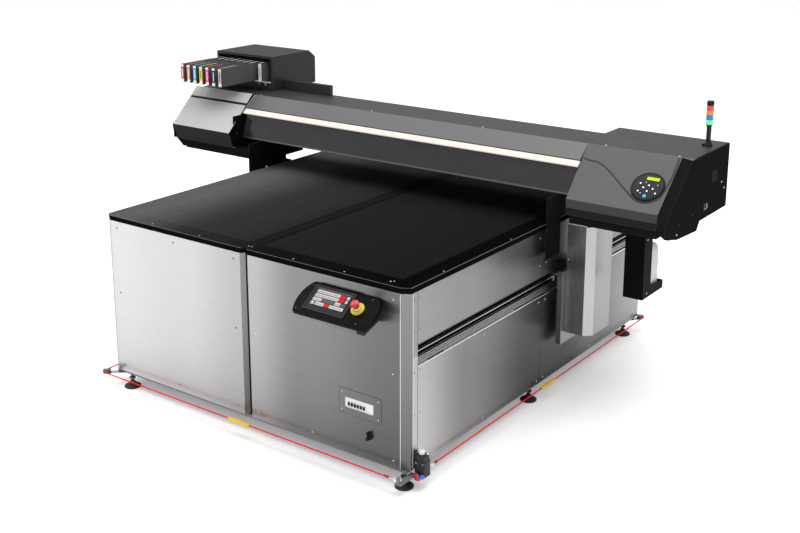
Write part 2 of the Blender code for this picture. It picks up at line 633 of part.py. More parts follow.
def add_end_fittings(machine):
    x, y = TOWER
    profile = ((0.022, TOP_Z + GAP), (0.022, 1.362), (0.0125, 1.366), (0.0125, 1.445),
               (0.0175, 1.450), (0.0175, 1.566), (0.013, 1.572))
    machine.part("signal_tower", turned(profile, (x, y, 0)), LOOKS["black"],
                 pivot=(x, y, TOP_Z), smooth=True)
    x_low, x_high, y_low, y_high = 1.328, 1.434, 0.180, 0.426
    outer = box((x_low, y_low, 0.589), (x_high, y_high, 1.112))
    inside = box((x_low + 0.004, y_low + 0.004, 0.595), (x_high - 0.004, y_high - 0.004, 1.2))
    side = box((x_high - 0.01, y_low + 0.045, 0.640), (x_high + 0.01, y_high - 0.010, 1.2))
    machine.part("waste_holder", outer, LOOKS["black"], cut=(inside, side))
    shoulder = loft([[(cx - dx, cy - dy, z), (cx + dx, cy - dy, z), (cx + dx, cy + dy, z),
                      (cx - dx, cy + dy, z)]
                     for cx, cy, dx, dy, z in ((1.381, 0.305, 0.040, 0.088, 0.5953),
                                               (1.381, 0.305, 0.040, 0.088, 0.880),
                                               (1.381, 0.330, 0.022, 0.040, 0.925))])
    cap = turned(((0.016, 0.920), (0.016, 0.950)), (1.381, 0.330, 0), sides=12)
    machine.part("waste_bottle", shoulder, LOOKS["white"], add=(cap,))

    slope = Vector((0, -0.255, -0.226)).normalized()
    normal = Vector((0, slope.z, -slope.y))
    centre = Vector((1.487, FOLD_Y, TOP_Z)) + slope * 0.197
    rings = []
    for radius, lift in ((0.080, GAP), (0.080, 0.004), (0.072, 0.009)):
        ring = []
        for step in range(32):
            angle = 2 * math.pi * step / 32
            ring.append(centre + Vector((radius * math.cos(angle), 0, 0))
                        + slope * radius * math.sin(angle) + normal * lift)
        rings.append(ring)
    machine.part("control_panel", loft(rings), LOOKS["black"], pivot=centre, smooth=True)


def build():
    clear_scene()
    machine = Machine()
    add_base_frame(machine)
    add_front(machine)
    add_sides(machine)
    add_table(machine)
    add_drives(machine)
    add_feet(machine)
    add_operator_panel(machine)
    add_front_fittings(machine)
    add_rope(machine)
    add_rope_switch(machine)
    add_trolley(machine)
    add_beam(machine)
    add_covers(machine)
    add_carriage(machine)
    add_ink(machine)
    add_end_fittings(machine)


build()
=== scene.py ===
import json
import math

import bmesh
import bpy
from mathutils import Matrix, Vector

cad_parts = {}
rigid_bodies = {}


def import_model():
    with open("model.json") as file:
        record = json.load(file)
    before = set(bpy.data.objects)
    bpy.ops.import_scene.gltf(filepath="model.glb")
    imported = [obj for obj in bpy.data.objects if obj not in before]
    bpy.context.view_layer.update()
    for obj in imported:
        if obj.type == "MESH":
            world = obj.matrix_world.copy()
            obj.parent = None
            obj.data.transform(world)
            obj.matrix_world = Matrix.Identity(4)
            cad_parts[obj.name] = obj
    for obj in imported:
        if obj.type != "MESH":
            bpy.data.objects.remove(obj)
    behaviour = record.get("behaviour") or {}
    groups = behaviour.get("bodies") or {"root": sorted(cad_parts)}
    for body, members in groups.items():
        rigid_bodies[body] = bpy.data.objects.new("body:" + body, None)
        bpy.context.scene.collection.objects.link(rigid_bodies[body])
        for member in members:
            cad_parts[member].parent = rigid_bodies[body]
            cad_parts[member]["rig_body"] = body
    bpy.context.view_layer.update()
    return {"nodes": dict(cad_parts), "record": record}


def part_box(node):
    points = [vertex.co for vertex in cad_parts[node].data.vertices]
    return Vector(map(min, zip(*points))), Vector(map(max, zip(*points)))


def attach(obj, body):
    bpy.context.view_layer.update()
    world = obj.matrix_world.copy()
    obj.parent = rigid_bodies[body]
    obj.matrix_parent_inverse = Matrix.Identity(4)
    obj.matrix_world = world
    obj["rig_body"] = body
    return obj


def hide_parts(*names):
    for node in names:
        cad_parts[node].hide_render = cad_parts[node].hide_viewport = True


# Flatbed UV printer: finishes, fine pieces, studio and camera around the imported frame.
# Places are given in metres about the middle of the table, which CENTRE puts into the frame.
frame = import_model()
UP = (0, 0, 1)


# ---------------------------------------------------------------- places taken from the frame
def around(*nodes):
    """Lowest and highest corner of several nodes together, in the frame."""
    corners = [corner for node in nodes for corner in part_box(node)]
    low = Vector([min(corner[axis] for corner in corners) for axis in range(3)])
    high = Vector([max(corner[axis] for corner in corners) for axis in range(3)])
    return low, high


def midpoint(low, high):
    """Middle of a box seen from above."""
    return Vector(((low.x + high.x) / 2, (low.y + high.y) / 2, 0))


bed_low, bed_high = around("table_left", "table_right")
CENTRE = midpoint(bed_low, bed_high)


def span(*nodes):
    """Corners of nodes, about the middle of the table."""
    low, high = around(*nodes)
    return low - CENTRE, high - CENTRE


BASE_X = (bed_high.x - bed_low.x) / 2
BASE_Y = (bed_high.y - bed_low.y) / 2
TABLE_TOP = bed_high.z
PANEL_LOW = span("front_panel_left")[0].z
PANEL_HIGH = span("front_panel_left")[1].z
SPLIT_X = span("table_left")[1].x
TOP_Z = span("gantry_top_cover")[1].z
GANTRY_RIGHT = span("gantry_right_cover")[1].x
FOLD_Y = 0.205
SLOT_MIDDLE = 0.622
ROPE_Z = (span("pull_rope")[0].z + span("pull_rope")[1].z) / 2


class Plane:
    """A flat face of the machine, with its own two directions and outward normal."""

    def __init__(self, origin, across, along):
        self.origin = Vector(origin)
        self.across = Vector(across).normalized()
        self.along = Vector(along).normalized()
        self.normal = self.across.cross(self.along)

    def spot(self, u, v, lift=0.0):
        return self.origin + self.across * u + self.along * v + self.normal * lift


def facing_front(y):
    return Plane((0, y, 0), (1, 0, 0), UP)


def facing_rear(y):
    return Plane((0, y, 0), (-1, 0, 0), UP)


def facing_right(x):
    return Plane((x, 0, 0), (0, 1, 0), UP)


def facing_up(z):
    return Plane((0, 0, z), (1, 0, 0), (0, 1, 0))


LEVEL = facing_up(0)
UPRIGHT = facing_right(0)
FRONT = facing_front(-BASE_Y)
RIGHT = facing_right(BASE_X)
LEFT = Plane((-BASE_X, 0, 0), (0, -1, 0), UP)
REAR = facing_rear(BASE_Y)
BED = facing_up(TABLE_TOP)
TOP = facing_up(TOP_Z)
END = facing_right(GANTRY_RIGHT)
# the operator panel: v runs down the slope, measured back from its lower edge
PANEL = Plane((0, -1.1753, 0.882), (1, 0, 0), (0, 0.1467, 0.103))
RIGHT_FACE = Plane((0, FOLD_Y, TOP_Z), (1, 0, 0), (0, 0.255, 0.226))
LEFT_FACE = Plane((0, FOLD_Y, TOP_Z), (1, 0, 0), (0, 0.261, 0.195))


# ---------------------------------------------------------------- shape builders
def loft(rings, closed=False):
    """Skin over rings of equal length; ends are capped, or joined when closed."""
    bm = bmesh.new()
    loops = [[bm.verts.new(corner) for corner in ring] for ring in rings]
    pairs = list(zip(loops, loops[1:]))
    if closed:
        pairs.append((loops[-1], loops[0]))
    for lower, upper in pairs:
        for index in range(len(lower)):
            after = (index + 1) % len(lower)
            bm.faces.new((lower[index], lower[after], upper[after], upper[index]))
    if not closed:
        bm.faces.new(loops[0])
        bm.faces.new(loops[-1])
    bmesh.ops.recalc_face_normals(bm, faces=bm.faces)
    return bm


def joined(parts):
    """Several meshes as one."""
    whole = bmesh.new()
    for part in parts:
        carrier = bpy.data.meshes.new("carrier")
        part.to_mesh(carrier)
        part.free()
        whole.from_mesh(carrier)
        bpy.data.meshes.remove(carrier)
    return whole


def box(low, high):
    corners = ((low[0], low[1]), (high[0], low[1]), (high[0], high[1]), (low[0], high[1]))
    return slab(LEVEL, corners, low[2], high[2])


def lathe(centre, direction, profile, sides, start=0.0):
    """Solid of revolution: profile is (radius, distance along the direction)."""
    axis = Vector(direction).normalized()
    side = axis.orthogonal().normalized()
    other = axis.cross(side)
    rings = []
    for radius, reach in profile:
        ring = []
        for step in range(sides):
            angle = start + 2 * math.pi * step / sides
            outward = side * math.cos(angle) + other * math.sin(angle)
            ring.append(Vector(centre) + axis * reach + outward * radius)
        rings.append(ring)
    return loft(rings)


def rounded(u_low, u_high, v_low, v_high, radius, steps=5):
    """Outline of a rectangle with round corners, counter-clockwise."""
    outline = []
    for u, v, start in ((u_high - radius, v_low + radius, -90), (u_high - radius, v_high - radius, 0),
            (u_low + radius, v_high - radius, 90), (u_low + radius, v_low + radius, 180)):
        for step in range(steps + 1):
            angle = math.radians(start + 90 * step / steps)
            outline.append((u + radius * math.cos(angle), v + radius * math.sin(angle)))
    return outline


def slab(plane, outline, low, high):
    """An outline on a plane, raised from one lift to another."""
    return loft([[plane.spot(u, v, lift) for u, v in outline] for lift in (low, high)])


def framing(plane, outer, inner, low, high):
    """A flat ring between two outlines with the same number of points."""
    rings = [[plane.spot(u, v, lift) for u, v in outline] for outline, lift in ((outer, low), (outer, high),
        (inner, high), (inner, low))]
    return loft(rings, closed=True)


def even_frame(plane, u_low, u_high, v_low, v_high, width, radius, inner_radius, low, high):
    """A flat ring of even width round a rectangular opening with round corners."""
    outer = rounded(u_low, u_high, v_low, v_high, radius)
    inner = rounded(u_low + width, u_high - width, v_low + width, v_high - width, inner_radius)
    return framing(plane, outer, inner, low, high)


def ribbon(plane, path, width, low, high, end_width=None):
    """A flat strip along a path on a plane, of one width or widening to end_width."""
    left, right = [], []
    for index, here in enumerate(path):
        before, after = path[max(index - 1, 0)], path[min(index + 1, len(path) - 1)]
        heading = Vector((after[0] - before[0], after[1] - before[1])).normalized()
        share = min(1.0, 1.6 * index / (len(path) - 1))
        wide = width + ((end_width or width) - width) * share
        offset = Vector((-heading.y, heading.x)) * wide / 2
        left.append((here[0] + offset.x, here[1] + offset.y))
        right.append((here[0] - offset.x, here[1] - offset.y))
    rings = []
    for a, b in zip(left, right):
        rings.append([plane.spot(*a, low), plane.spot(*b, low), plane.spot(*b, high), plane.spot(*a, high)])
    return loft(rings)


def on_curve(p, q, r, s, t):
    """One coordinate of a Catmull-Rom curve, with t running from q to r."""
    square = (2 * p - 5 * q + 4 * r - s) * t * t
    cube = (3 * q - p - 3 * r + s) * t ** 3
    return 0.5 * (2 * q + (r - p) * t + square + cube)


def smooth_path(points, steps=6):
    """Catmull-Rom curve through points of any dimension."""
    curve = []
    ends = [points[0]] + list(points) + [points[-1]]
    for a, b, c, d in zip(ends, ends[1:], ends[2:], ends[3:]):
        for step in range(steps):
            t = step / steps
            curve.append(tuple(on_curve(*row, t) for row in zip(a, b, c, d)))
    return curve + [tuple(points[-1])]


def tube(path, radius):
    """A round bar along points in space."""
    sides = 12
    rings = []
    side = None
    for index, here in enumerate(path):
        before, after = path[max(index - 1, 0)], path[min(index + 1, len(path) - 1)]
        heading = (Vector(after) - Vector(before)).normalized()
        if side is None:
            side = heading.orthogonal().normalized()
        side = (side - heading * side.dot(heading)).normalized()
        other = heading.cross(side)
        rings.append([Vector(here) + side * radius * math.cos(2 * math.pi * step / sides)
            + other * radius * math.sin(2 * math.pi * step / sides) for step in range(sides)])
    return loft(rings)


# ---------------------------------------------------------------- finishes
def shaded(colour, factor):
    return tuple(min(1, part * factor) for part in colour)


class Finish:
    """A Principled material under construction, on object coordinates."""

    def __init__(self, name, colour, metallic, roughness, **sockets):
        self.material = bpy.data.materials.new(name)
        self.material.use_nodes = True
        self.nodes = self.material.node_tree.nodes
        self.links = self.material.node_tree.links
        self.shader = self.nodes["Principled BSDF"]
        self.shader.inputs["Base Color"].default_value = (*colour, 1)
        self.shader.inputs["Metallic"].default_value = metallic
        self.shader.inputs["Roughness"].default_value = roughness
        for socket, value in sockets.items():
            self.shader.inputs[socket.replace("_", " ")].default_value = value
        self.coords = self.add("TexCoord").outputs["Object"]
        self.height = None

    def add(self, kind, **settings):
        node = self.nodes.new("ShaderNode" + kind)
        for key, value in settings.items():
            setattr(node, key, value)
        return node

    def math(self, operation, a, b=None):
        node = self.add("Math", operation=operation)
        for socket, value in zip(node.inputs, (a, b)):
            if isinstance(value, (int, float)):
                socket.default_value = value
            elif value is not None:
                self.links.new(value, socket)
        return node.outputs[0]

    def axis(self, name):
        """One object coordinate, about the middle of the table."""
        split = self.add("SeparateXYZ")
        self.links.new(self.coords, split.inputs[0])
        offset = CENTRE["XYZ".index(name)]
        return self.math("SUBTRACT", split.outputs[name], offset)

    def noise(self, scale, stretch=(1, 1, 1), detail=3.0):
        mapping = self.add("Mapping")
        mapping.inputs["Scale"].default_value = stretch
        self.links.new(self.coords, mapping.inputs["Vector"])
        texture = self.add("TexNoise")
        texture.inputs["Scale"].default_value = scale
        texture.inputs["Detail"].default_value = detail
        self.links.new(mapping.outputs[0], texture.inputs["Vector"])
        return texture.outputs[0]

    def levels(self, value, low, high, from_low=0.3, from_high=0.7):
        node = self.add("MapRange")
        node.inputs["From Min"].default_value = from_low
        node.inputs["From Max"].default_value = from_high
        node.inputs["To Min"].default_value = low
        node.inputs["To Max"].default_value = high
        self.links.new(value, node.inputs["Value"])
        return node.outputs[0]

    def ramp(self, value, sheen_stops):
        """Tone along a coordinate, used to paint sheen and reflection: stops are (place in metres, grey).
        """
        low, high = sheen_stops[0][0], sheen_stops[-1][0]
        node = self.add("ValToRGB")
        band = node.color_ramp
        band.interpolation = "EASE"
        for number, (place, grey) in enumerate(sheen_stops):
            here = (place - low) / (high - low)
            if number < 2:
                stop = band.elements[number]
                stop.position = here
            else:
                stop = band.elements.new(here)
            stop.color = (grey, grey, grey, 1)
        self.links.new(self.levels(value, 0, 1, low, high), node.inputs[0])
        return node.outputs[0]

    def blend(self, factor, colour_a, colour_b, mode="MIX"):
        node = self.add("Mix", data_type="RGBA", blend_type=mode)
        if isinstance(factor, (int, float)):
            node.inputs[0].default_value = factor
        else:
            self.links.new(factor, node.inputs[0])
        for socket, value in ((node.inputs[6], colour_a), (node.inputs[7], colour_b)):
            if isinstance(value, tuple):
                socket.default_value = (*value, 1)
            else:
                self.links.new(value, socket)
        return node.outputs[2]

    def grey(self, value):
        node = self.add("CombineColor")
        for socket in node.inputs:
            self.links.new(value, socket)
        return node.outputs[0]

    def to(self, socket, value):
        self.links.new(value, self.shader.inputs[socket])

    def relief(self, height, distance, strength):
        """Adds a layer of bump."""
        bump = self.add("Bump")
        bump.inputs["Strength"].default_value = strength
        bump.inputs["Distance"].default_value = distance
        self.links.new(height, bump.inputs["Height"])
        if self.height is not None:
            self.links.new(self.height, bump.inputs["Normal"])
        self.height = bump.outputs[0]
        self.to("Normal", self.height)

    def edges(self, radius=0.004):
        """Near 1 on sharp edges and 0 on flats, broken up by noise."""
        bevel = self.add("Bevel", samples=4)
        bevel.inputs["Radius"].default_value = radius
        geometry = self.add("NewGeometry")
        dot = self.add("VectorMath", operation="DOT_PRODUCT")
        self.links.new(bevel.outputs[0], dot.inputs[0])
        self.links.new(geometry.outputs["Normal"], dot.inputs[1])
        sharp = self.levels(dot.outputs["Value"], 1.0, 0.0, 0.75, 0.99)
        return self.math("MULTIPLY", sharp, self.levels(self.noise(60), 0.1, 1.0))


def brushed(name, tone, sheen_stops=None, axis="X", grain="X", height_shade=(1.0, 1.0), roughness=0.3, upper=None):
    """Brushed stainless: fine lines along the grain, with painted reflection as a tone that drifts along
    one axis, painted shade that changes with height and painted highlights on sharp edges.

    upper holds the painted reflection stops above the side slot, where they differ.
    """
    made = Finish(name, (tone, tone, tone * 1.01), 1.0, roughness, Anisotropic=0.45)
    stretch = {"X": (2.5, 420, 420), "Y": (420, 2.5, 420), "Z": (420, 420, 2.5)}[grain]
    lines = made.noise(1.0, stretch, 3)
    broad = made.noise(1.0, tuple(part * 0.12 for part in stretch), 2)
    # painted reflection: a tone ramp along one axis
    base = made.ramp(made.axis(axis), sheen_stops) if sheen_stops else None
    if upper:
        above = made.math("GREATER_THAN", made.axis("Z"), SLOT_MIDDLE)
        base = made.blend(above, base, made.ramp(made.axis(axis), upper))
    shade = made.math("MULTIPLY", made.levels(lines, 0.98, 1.02), made.levels(broad, 0.99, 1.01))
    # painted shade: darker or lighter with height on the panel
    shade = made.math("MULTIPLY", shade, made.levels(made.axis("Z"), *height_shade, PANEL_LOW, PANEL_HIGH))
    grey = made.grey(shade)
    ground = base if base is not None else (tone, tone, tone * 1.01)
    body = made.blend(1.0, ground, grey, "MULTIPLY")
    # painted highlight: sharp edges are lightened
    made.to("Base Color", made.blend(made.math("MULTIPLY", made.edges(0.0025), 0.75), body,
        (0.92, 0.92, 0.93)))
    made.to("Roughness", made.levels(lines, roughness - 0.05, roughness + 0.08))
    made.relief(lines, 0.00003, 0.3)
    tangent = made.add("Tangent", direction_type="RADIAL", axis="Z")
    made.links.new(tangent.outputs[0], made.shader.inputs["Tangent"])
    return made.material


def painted(name, colour, roughness, wear, worn=None, texture=900.0, metallic=0.0, gloss=0.4):
    """Powder coat: fine orange peel, faint clouding, lighter rubbed edges."""
    made = Finish(name, colour, metallic, roughness, Specular_IOR_Level=gloss)
    clouds = made.noise(3.0, detail=4)
    wear_and_sheen = worn or tuple(min(1, part * 2.2 + 0.05) for part in colour)
    body = made.blend(made.levels(clouds, 0, 1), shaded(colour, 0.97), shaded(colour, 1.03))
    edge = made.math("MULTIPLY", made.edges(), wear)
    made.to("Base Color", made.blend(edge, body, wear_and_sheen))
    scuffs = made.noise(14.0, (1, 1, 3), 5)
    made.to("Roughness", made.levels(scuffs, roughness - 0.015, roughness + 0.025))
    made.relief(made.noise(texture, detail=2), 0.00015, 0.3)
    return made.material


def moulded(name, colour, roughness, texture=1400.0, **sockets):
    """Injection-moulded plastic: fine grain and faint flow marks."""
    made = Finish(name, colour, 0.0, roughness, **sockets)
    flow = made.noise(9.0, (1, 1, 0.4), 3)
    made.to("Base Color", made.blend(made.levels(flow, 0, 1), shaded(colour, 0.9), shaded(colour, 1.06)))
    made.to("Roughness", made.levels(made.noise(40.0), roughness - 0.05, roughness + 0.07))
    made.relief(made.noise(texture, detail=1), 0.00012, 0.3)
    return made.material


def glowing(name, colour, strength):
    """A lit diffuser, slightly uneven along its length."""
    made = Finish(name, colour, 0.0, 0.35, Emission_Strength=strength, Specular_IOR_Level=0.1)
    patch = made.levels(made.noise(5.0), 0.92, 1.0)
    grey = made.grey(patch)
    made.to("Emission Color", made.blend(1.0, colour, grey, "MULTIPLY"))
    return made.material


def perforated_bed(name):
    """Black anodised plate with a painted sheen lighter to the left, painted highlights on its edges and
    hole rims and painted shade in the holes: border, then rows of vacuum holes.
    """
    made = Finish(name, (0.01, 0.01, 0.011), 0.0, 0.6, Specular_IOR_Level=0.0)
    pitch, hole, rim_size, half_x, half_y, middle = 0.0125, 0.0014, 0.0032, 0.87, 1.075, 0.045
    cells = []
    for axis in "XY":
        cell = made.math("FRACT", made.math("DIVIDE", made.axis(axis), pitch))
        cells.append(made.math("ABSOLUTE", made.math("SUBTRACT", cell, 0.5)))
    apart = made.math("SQRT", made.math("ADD", made.math("POWER", cells[0], 2.0),
        made.math("POWER", cells[1], 2.0)))
    # painted shade: the holes are coloured near-black
    inside = made.levels(apart, 1.0, 0.0, hole / pitch - 0.03, hole / pitch + 0.03)
    rim = made.levels(apart, 1.0, 0.0, rim_size / pitch - 0.04, rim_size / pitch + 0.04)
    x, y, z = (made.axis(axis) for axis in "XYZ")
    from_split = made.math("SUBTRACT", x, SPLIT_X)
    limits = ((made.math("ABSOLUTE", x), "LESS_THAN", half_x), (made.math("ABSOLUTE", y), "LESS_THAN",
        half_y), (made.math("ABSOLUTE", from_split), "GREATER_THAN", middle),
        (z, "GREATER_THAN", TABLE_TOP - 0.001))
    for value, operation, limit in limits:
        rim = made.math("MULTIPLY", rim, made.math(operation, value, limit))
    inside = made.math("MULTIPLY", inside, rim)
    streaks = made.noise(1.0, (260, 2.0, 260), 4)
    upward = made.math("GREATER_THAN", z, TABLE_TOP - 0.0015)
    # painted sheen: the top is lighter to the left, the sides stay dark
    wear_and_sheen = made.ramp(x, ((-0.95, 0.095), (-0.35, 0.019), (0.2, 0.006), (0.95, 0.003)))
    wear_and_sheen = made.blend(upward, (0.006, 0.006, 0.0065), wear_and_sheen)
    grain = made.blend(made.levels(streaks, 0, 1), (0.55, 0.55, 0.57), (1.0, 1.0, 1.0))
    body = made.blend(1.0, wear_and_sheen, grain, "MULTIPLY")
    # painted highlight: sharp edges are lightened
    body = made.blend(made.math("MULTIPLY", made.edges(0.003), 0.8), body, (0.2, 0.2, 0.205))
    # painted highlight: the rims round the holes are lightened
    rim_highlight = made.blend(1.0, wear_and_sheen, (2.4, 2.4, 2.4), "ADD")
    rim_highlight = made.blend(0.982, rim_highlight, wear_and_sheen)
    body = made.blend(made.math("MULTIPLY", rim, 0.8), body, rim_highlight)
    made.to("Base Color", made.blend(inside, body, (0.001, 0.001, 0.001)))
    made.to("Roughness", made.levels(streaks, 0.36, 0.5))
    made.relief(made.math("SUBTRACT", 1.0, inside), 0.001, 0.8)
    return made.material


def braided(name, colour):
    """Rope jacket: fine diagonal strands."""
    made = Finish(name, colour, 0.0, 0.6, Specular_IOR_Level=0.1)
    wave = made.add("TexWave", bands_direction="DIAGONAL")
    wave.inputs["Scale"].default_value = 120.0
    wave.inputs["Distortion"].default_value = 1.0
    made.links.new(made.coords, wave.inputs["Vector"])
    made.to("Base Color", made.blend(wave.outputs[1], colour, shaded(colour, 0.7)))
    made.relief(wave.outputs[1], 0.0004, 0.5)
    return made.material


def smoked(name):
    """Dark see-through acrylic with faint cleaning marks."""
    made = Finish(name, (0.03, 0.03, 0.032), 0.0, 0.12, Transmission_Weight=0.35, IOR=1.49)
    marks = made.noise(6.0, (1, 1, 4), 5)
    made.to("Roughness", made.levels(marks, 0.08, 0.18))
    made.to("Base Color", made.blend(made.levels(marks, 0, 1), (0.026, 0.026, 0.028),
        (0.036, 0.036, 0.038)))
    return made.material


# Stainless finishes with painted reflection: their stops paint reflection tones along the panels and lift
# fronts, and a pair of factors paints shade from the bottom of the panels to the top.
STEEL_LEFT = brushed("steel_front_left", 0.7, ((-0.93, 0.6), (-0.4, 0.53), (0.0, 0.4)), height_shade=(0.78, 1.0))
STEEL_RIGHT = brushed("steel_front_right", 0.4, ((0.03, 0.4), (0.35, 0.215), (0.93, 0.138)),
    height_shade=(0.74, 1.0))
STEEL_SIDE = brushed("steel_side", 0.4, ((-1.14, 0.48), (-0.7, 0.23), (-0.1, 0.062), (0.25, 0.062),
    (0.62, 0.15), (1.17, 0.27)), "Y", "Y", (1.0, 0.72), upper=((-1.14, 0.34), (-0.7, 0.27), (-0.3, 0.17),
    (0.1, 0.16), (1.17, 0.27)))
STEEL_PLAIN = brushed("steel_plain", 0.52, grain="X")
STEEL_POST = brushed("steel_post", 0.135, grain="Z", height_shade=(0.85, 1.6))
STEEL_TROLLEY = brushed("steel_trolley", 0.22, grain="Z")
STEEL_BRIGHT = brushed("steel_bright", 0.68, grain="Y", roughness=0.24)
STEEL_LIFT_FRONT = brushed("steel_lift_front", 0.16, ((0.3, 0.24), (0.6, 0.26), (0.72, 0.17), (0.86, 0.32),
    (0.93, 0.26)), "Z", "Z")
STEEL_LIFT_EDGE = brushed("steel_lift_edge", 0.39, grain="Z")
STEEL_LIFT_SIDE = brushed("steel_lift_side", 0.27, grain="Z", height_shade=(0.9, 1.0))
PALE_STEEL = painted("pale_zinc", (0.8, 0.8, 0.81), 0.3, 0.2, metallic=0.8, texture=300.0)
BRIGHT = painted("zinc_bright", (0.62, 0.62, 0.63), 0.25, 0.2, metallic=1.0, texture=300.0)
DARK_STEEL = painted("dark_zinc", (0.12, 0.12, 0.125), 0.35, 0.4, metallic=0.9)
PLINTH_PAINT = painted("plinth_paint", (0.165, 0.165, 0.168), 0.5, 0.4)
# Flat light grey for the centre post's left-facing faces: a painted reflection tone.
POST_FACET_SHEEN = painted("post_facet_sheen", (0.2, 0.2, 0.204), 0.5, 0.4)
# Bright steel for thin rods on the corner posts' edges: painted highlight.
STEEL_EDGE_HIGHLIGHT = brushed("steel_edge_highlight", 0.62, grain="Z")
RAIL_SIDE = brushed("rail_side", 0.24, grain="Y")
RAIL_HEAD = brushed("rail_head", 0.4, grain="Y")
COVER_FACE = painted("cover_face", (0.062, 0.062, 0.064), 0.48, 0.45, gloss=0.3)
FASCIA = painted("fascia_face", (0.09, 0.09, 0.092), 0.45, 0.45)
# Lit copy of the cover paint for the left cover's face, lighter than the right cover's face: painted light.
COVER_FACE_LIT = painted("cover_face_lit", (0.42, 0.42, 0.425), 0.6, 0.45, gloss=0.08)
COVER_TOP = painted("cover_top", (0.024, 0.024, 0.025), 0.5, 0.45, gloss=0.22)
COVER_DARK = painted("cover_dark", (0.012, 0.012, 0.0125), 0.48, 0.4, gloss=0.08)
COVER_BAND = painted("cover_band", (0.028, 0.028, 0.029), 0.48, 0.4, gloss=0.2)
BOX_BLACK = painted("box_black", (0.005, 0.005, 0.0055), 0.5, 0.5, (0.1, 0.1, 0.105), gloss=0.02)
END_BLACK = painted("end_black", (0.011, 0.011, 0.0115), 0.55, 0.5, (0.06, 0.06, 0.062), gloss=0.0)
# Lighter copy of the band paint for the right cover, against the darker left band: painted light.
RIGHT_BAND = painted("right_band", (0.044, 0.044, 0.045), 0.48, 0.4, gloss=0.2)
BLACK_TOP = painted("black_top", (0.024, 0.024, 0.025), 0.5, 0.5, (0.16, 0.16, 0.165), gloss=0.08)
RACK_SIDE = painted("rack_side", (0.026, 0.026, 0.027), 0.45, 0.5, (0.16, 0.16, 0.165), gloss=0.2)
# Lighter copy of the cartridges' black plastic for their side faces: painted light.
CARTRIDGE_SIDE = moulded("cartridge_side", (0.085, 0.085, 0.086), 0.5, Specular_IOR_Level=0.15)
PANEL_BLACK = moulded("panel_black", (0.0045, 0.0045, 0.005), 0.45, Specular_IOR_Level=0.04)
DIAL = painted("dial_face", (0.022, 0.022, 0.024), 0.5, 0.2, gloss=0.1)
BLACK_PLASTIC = moulded("black_plastic", (0.011, 0.011, 0.012), 0.42, Specular_IOR_Level=0.18)
SATIN_BLACK = moulded("satin_black", (0.022, 0.022, 0.023), 0.45, Specular_IOR_Level=0.25)
# Light grey for the lines along the table's top edges: painted highlight.
EDGE_HIGHLIGHT_GREY = moulded("edge_highlight_grey", (0.11, 0.11, 0.112), 0.5)
GROOVE = moulded("groove_shadow", (0.006, 0.006, 0.006), 0.7)
RUBBER = moulded("rubber", (0.012, 0.012, 0.012), 0.62, 500.0)
BED_FINISH = perforated_bed("bed_black")
WINDOW = smoked("smoked_acrylic")
LIGHT = glowing("light_diffuser", (0.26, 0.235, 0.21), 2.5)
ROPE_RED = braided("rope_red", (0.92, 0.012, 0.02))
SLEEVE_YELLOW = moulded("sleeve_yellow", (0.8, 0.5, 0.01), 0.35)
STOP_RED = moulded("stop_red", (0.46, 0.012, 0.02), 0.32, Coat_Weight=0.2)
STOP_YELLOW = moulded("stop_yellow", (0.56, 0.45, 0.008), 0.4)
PALE = moulded("pale_plastic", (0.78, 0.79, 0.78), 0.4)
BLUE = moulded("blue_plastic", (0.03, 0.16, 0.7), 0.35)
GLASS_BLACK = moulded("glass_black", (0.006, 0.0065, 0.007), 0.22, 300.0, Specular_IOR_Level=0.1)
BOTTLE = moulded("bottle_plastic", (0.62, 0.62, 0.6), 0.45, 600.0, Subsurface_Weight=0.15)
UI_WHITE = glowing("display_white", (0.4, 0.44, 0.44), 0.5)
UI_GREY = glowing("display_grey", (0.05, 0.08, 0.08), 0.2)
UI_RED = glowing("display_red", (0.4, 0.003, 0.012), 0.4)
LCD = glowing("lcd_green", (0.3, 0.44, 0.005), 0.6)
KEY_WHITE = glowing("key_white", (0.7, 0.72, 0.72), 0.6)
KEY_BLUE = glowing("key_blue", (0.01, 0.32, 0.62), 0.8)
LENS_GREEN = glowing("lens_green", (0.1, 0.55, 0.28), 0.9)
LENS_BLUE = moulded("lens_blue", (0.02, 0.25, 0.75), 0.2, Coat_Weight=0.5)
LENS_AMBER = moulded("lens_amber", (0.85, 0.32, 0.04), 0.2, Coat_Weight=0.5)
LENS_RED = moulded("lens_red", (0.85, 0.05, 0.04), 0.2, Coat_Weight=0.5)
INKS = [moulded("ink_" + name, colour, 0.35) for name, colour in (("red", (0.8, 0.03, 0.03)),
    ("orange", (0.72, 0.27, 0.03)), ("cyan", (0.03, 0.42, 0.78)), ("yellow", (0.8, 0.66, 0.01)),
    ("magenta", (0.8, 0.02, 0.28)), ("black", (0.012, 0.012, 0.013)), ("pale_grey", (0.5, 0.45, 0.4)),
    ("white", (0.8, 0.8, 0.8)))]


# ---------------------------------------------------------------- placing
SLOT_OF = {row["node"]: row["material_slot"] for row in frame["record"]["subparts"]}


def piece(name, bm, finish, body, bevel=0.0, segments=2, angle=38, replaces=(), slot=None):
    """A mesh drawn about the middle of the table becomes a piece that rides on a body.

    The slot argument is not used.
    """
    bm.transform(Matrix.Translation(CENTRE))
    mesh = bpy.data.meshes.new(name)
    bm.to_mesh(mesh)
    bm.free()
    made = bpy.data.objects.new(name, mesh)
    bpy.context.scene.collection.objects.link(made)
    for one in finish if isinstance(finish, list) else [finish]:
        mesh.materials.append(one)
    mesh.shade_smooth()
    mesh.set_sharp_from_angle(angle=math.radians(angle))
    if bevel:
        edge = made.modifiers.new("edge", "BEVEL")
        edge.width = bevel
        edge.segments = segments
        edge.limit_method = "ANGLE"
        edge.angle_limit = math.radians(angle - 8)
        edge.harden_normals = True
    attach(made, body)
    if replaces:
        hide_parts(*replaces)


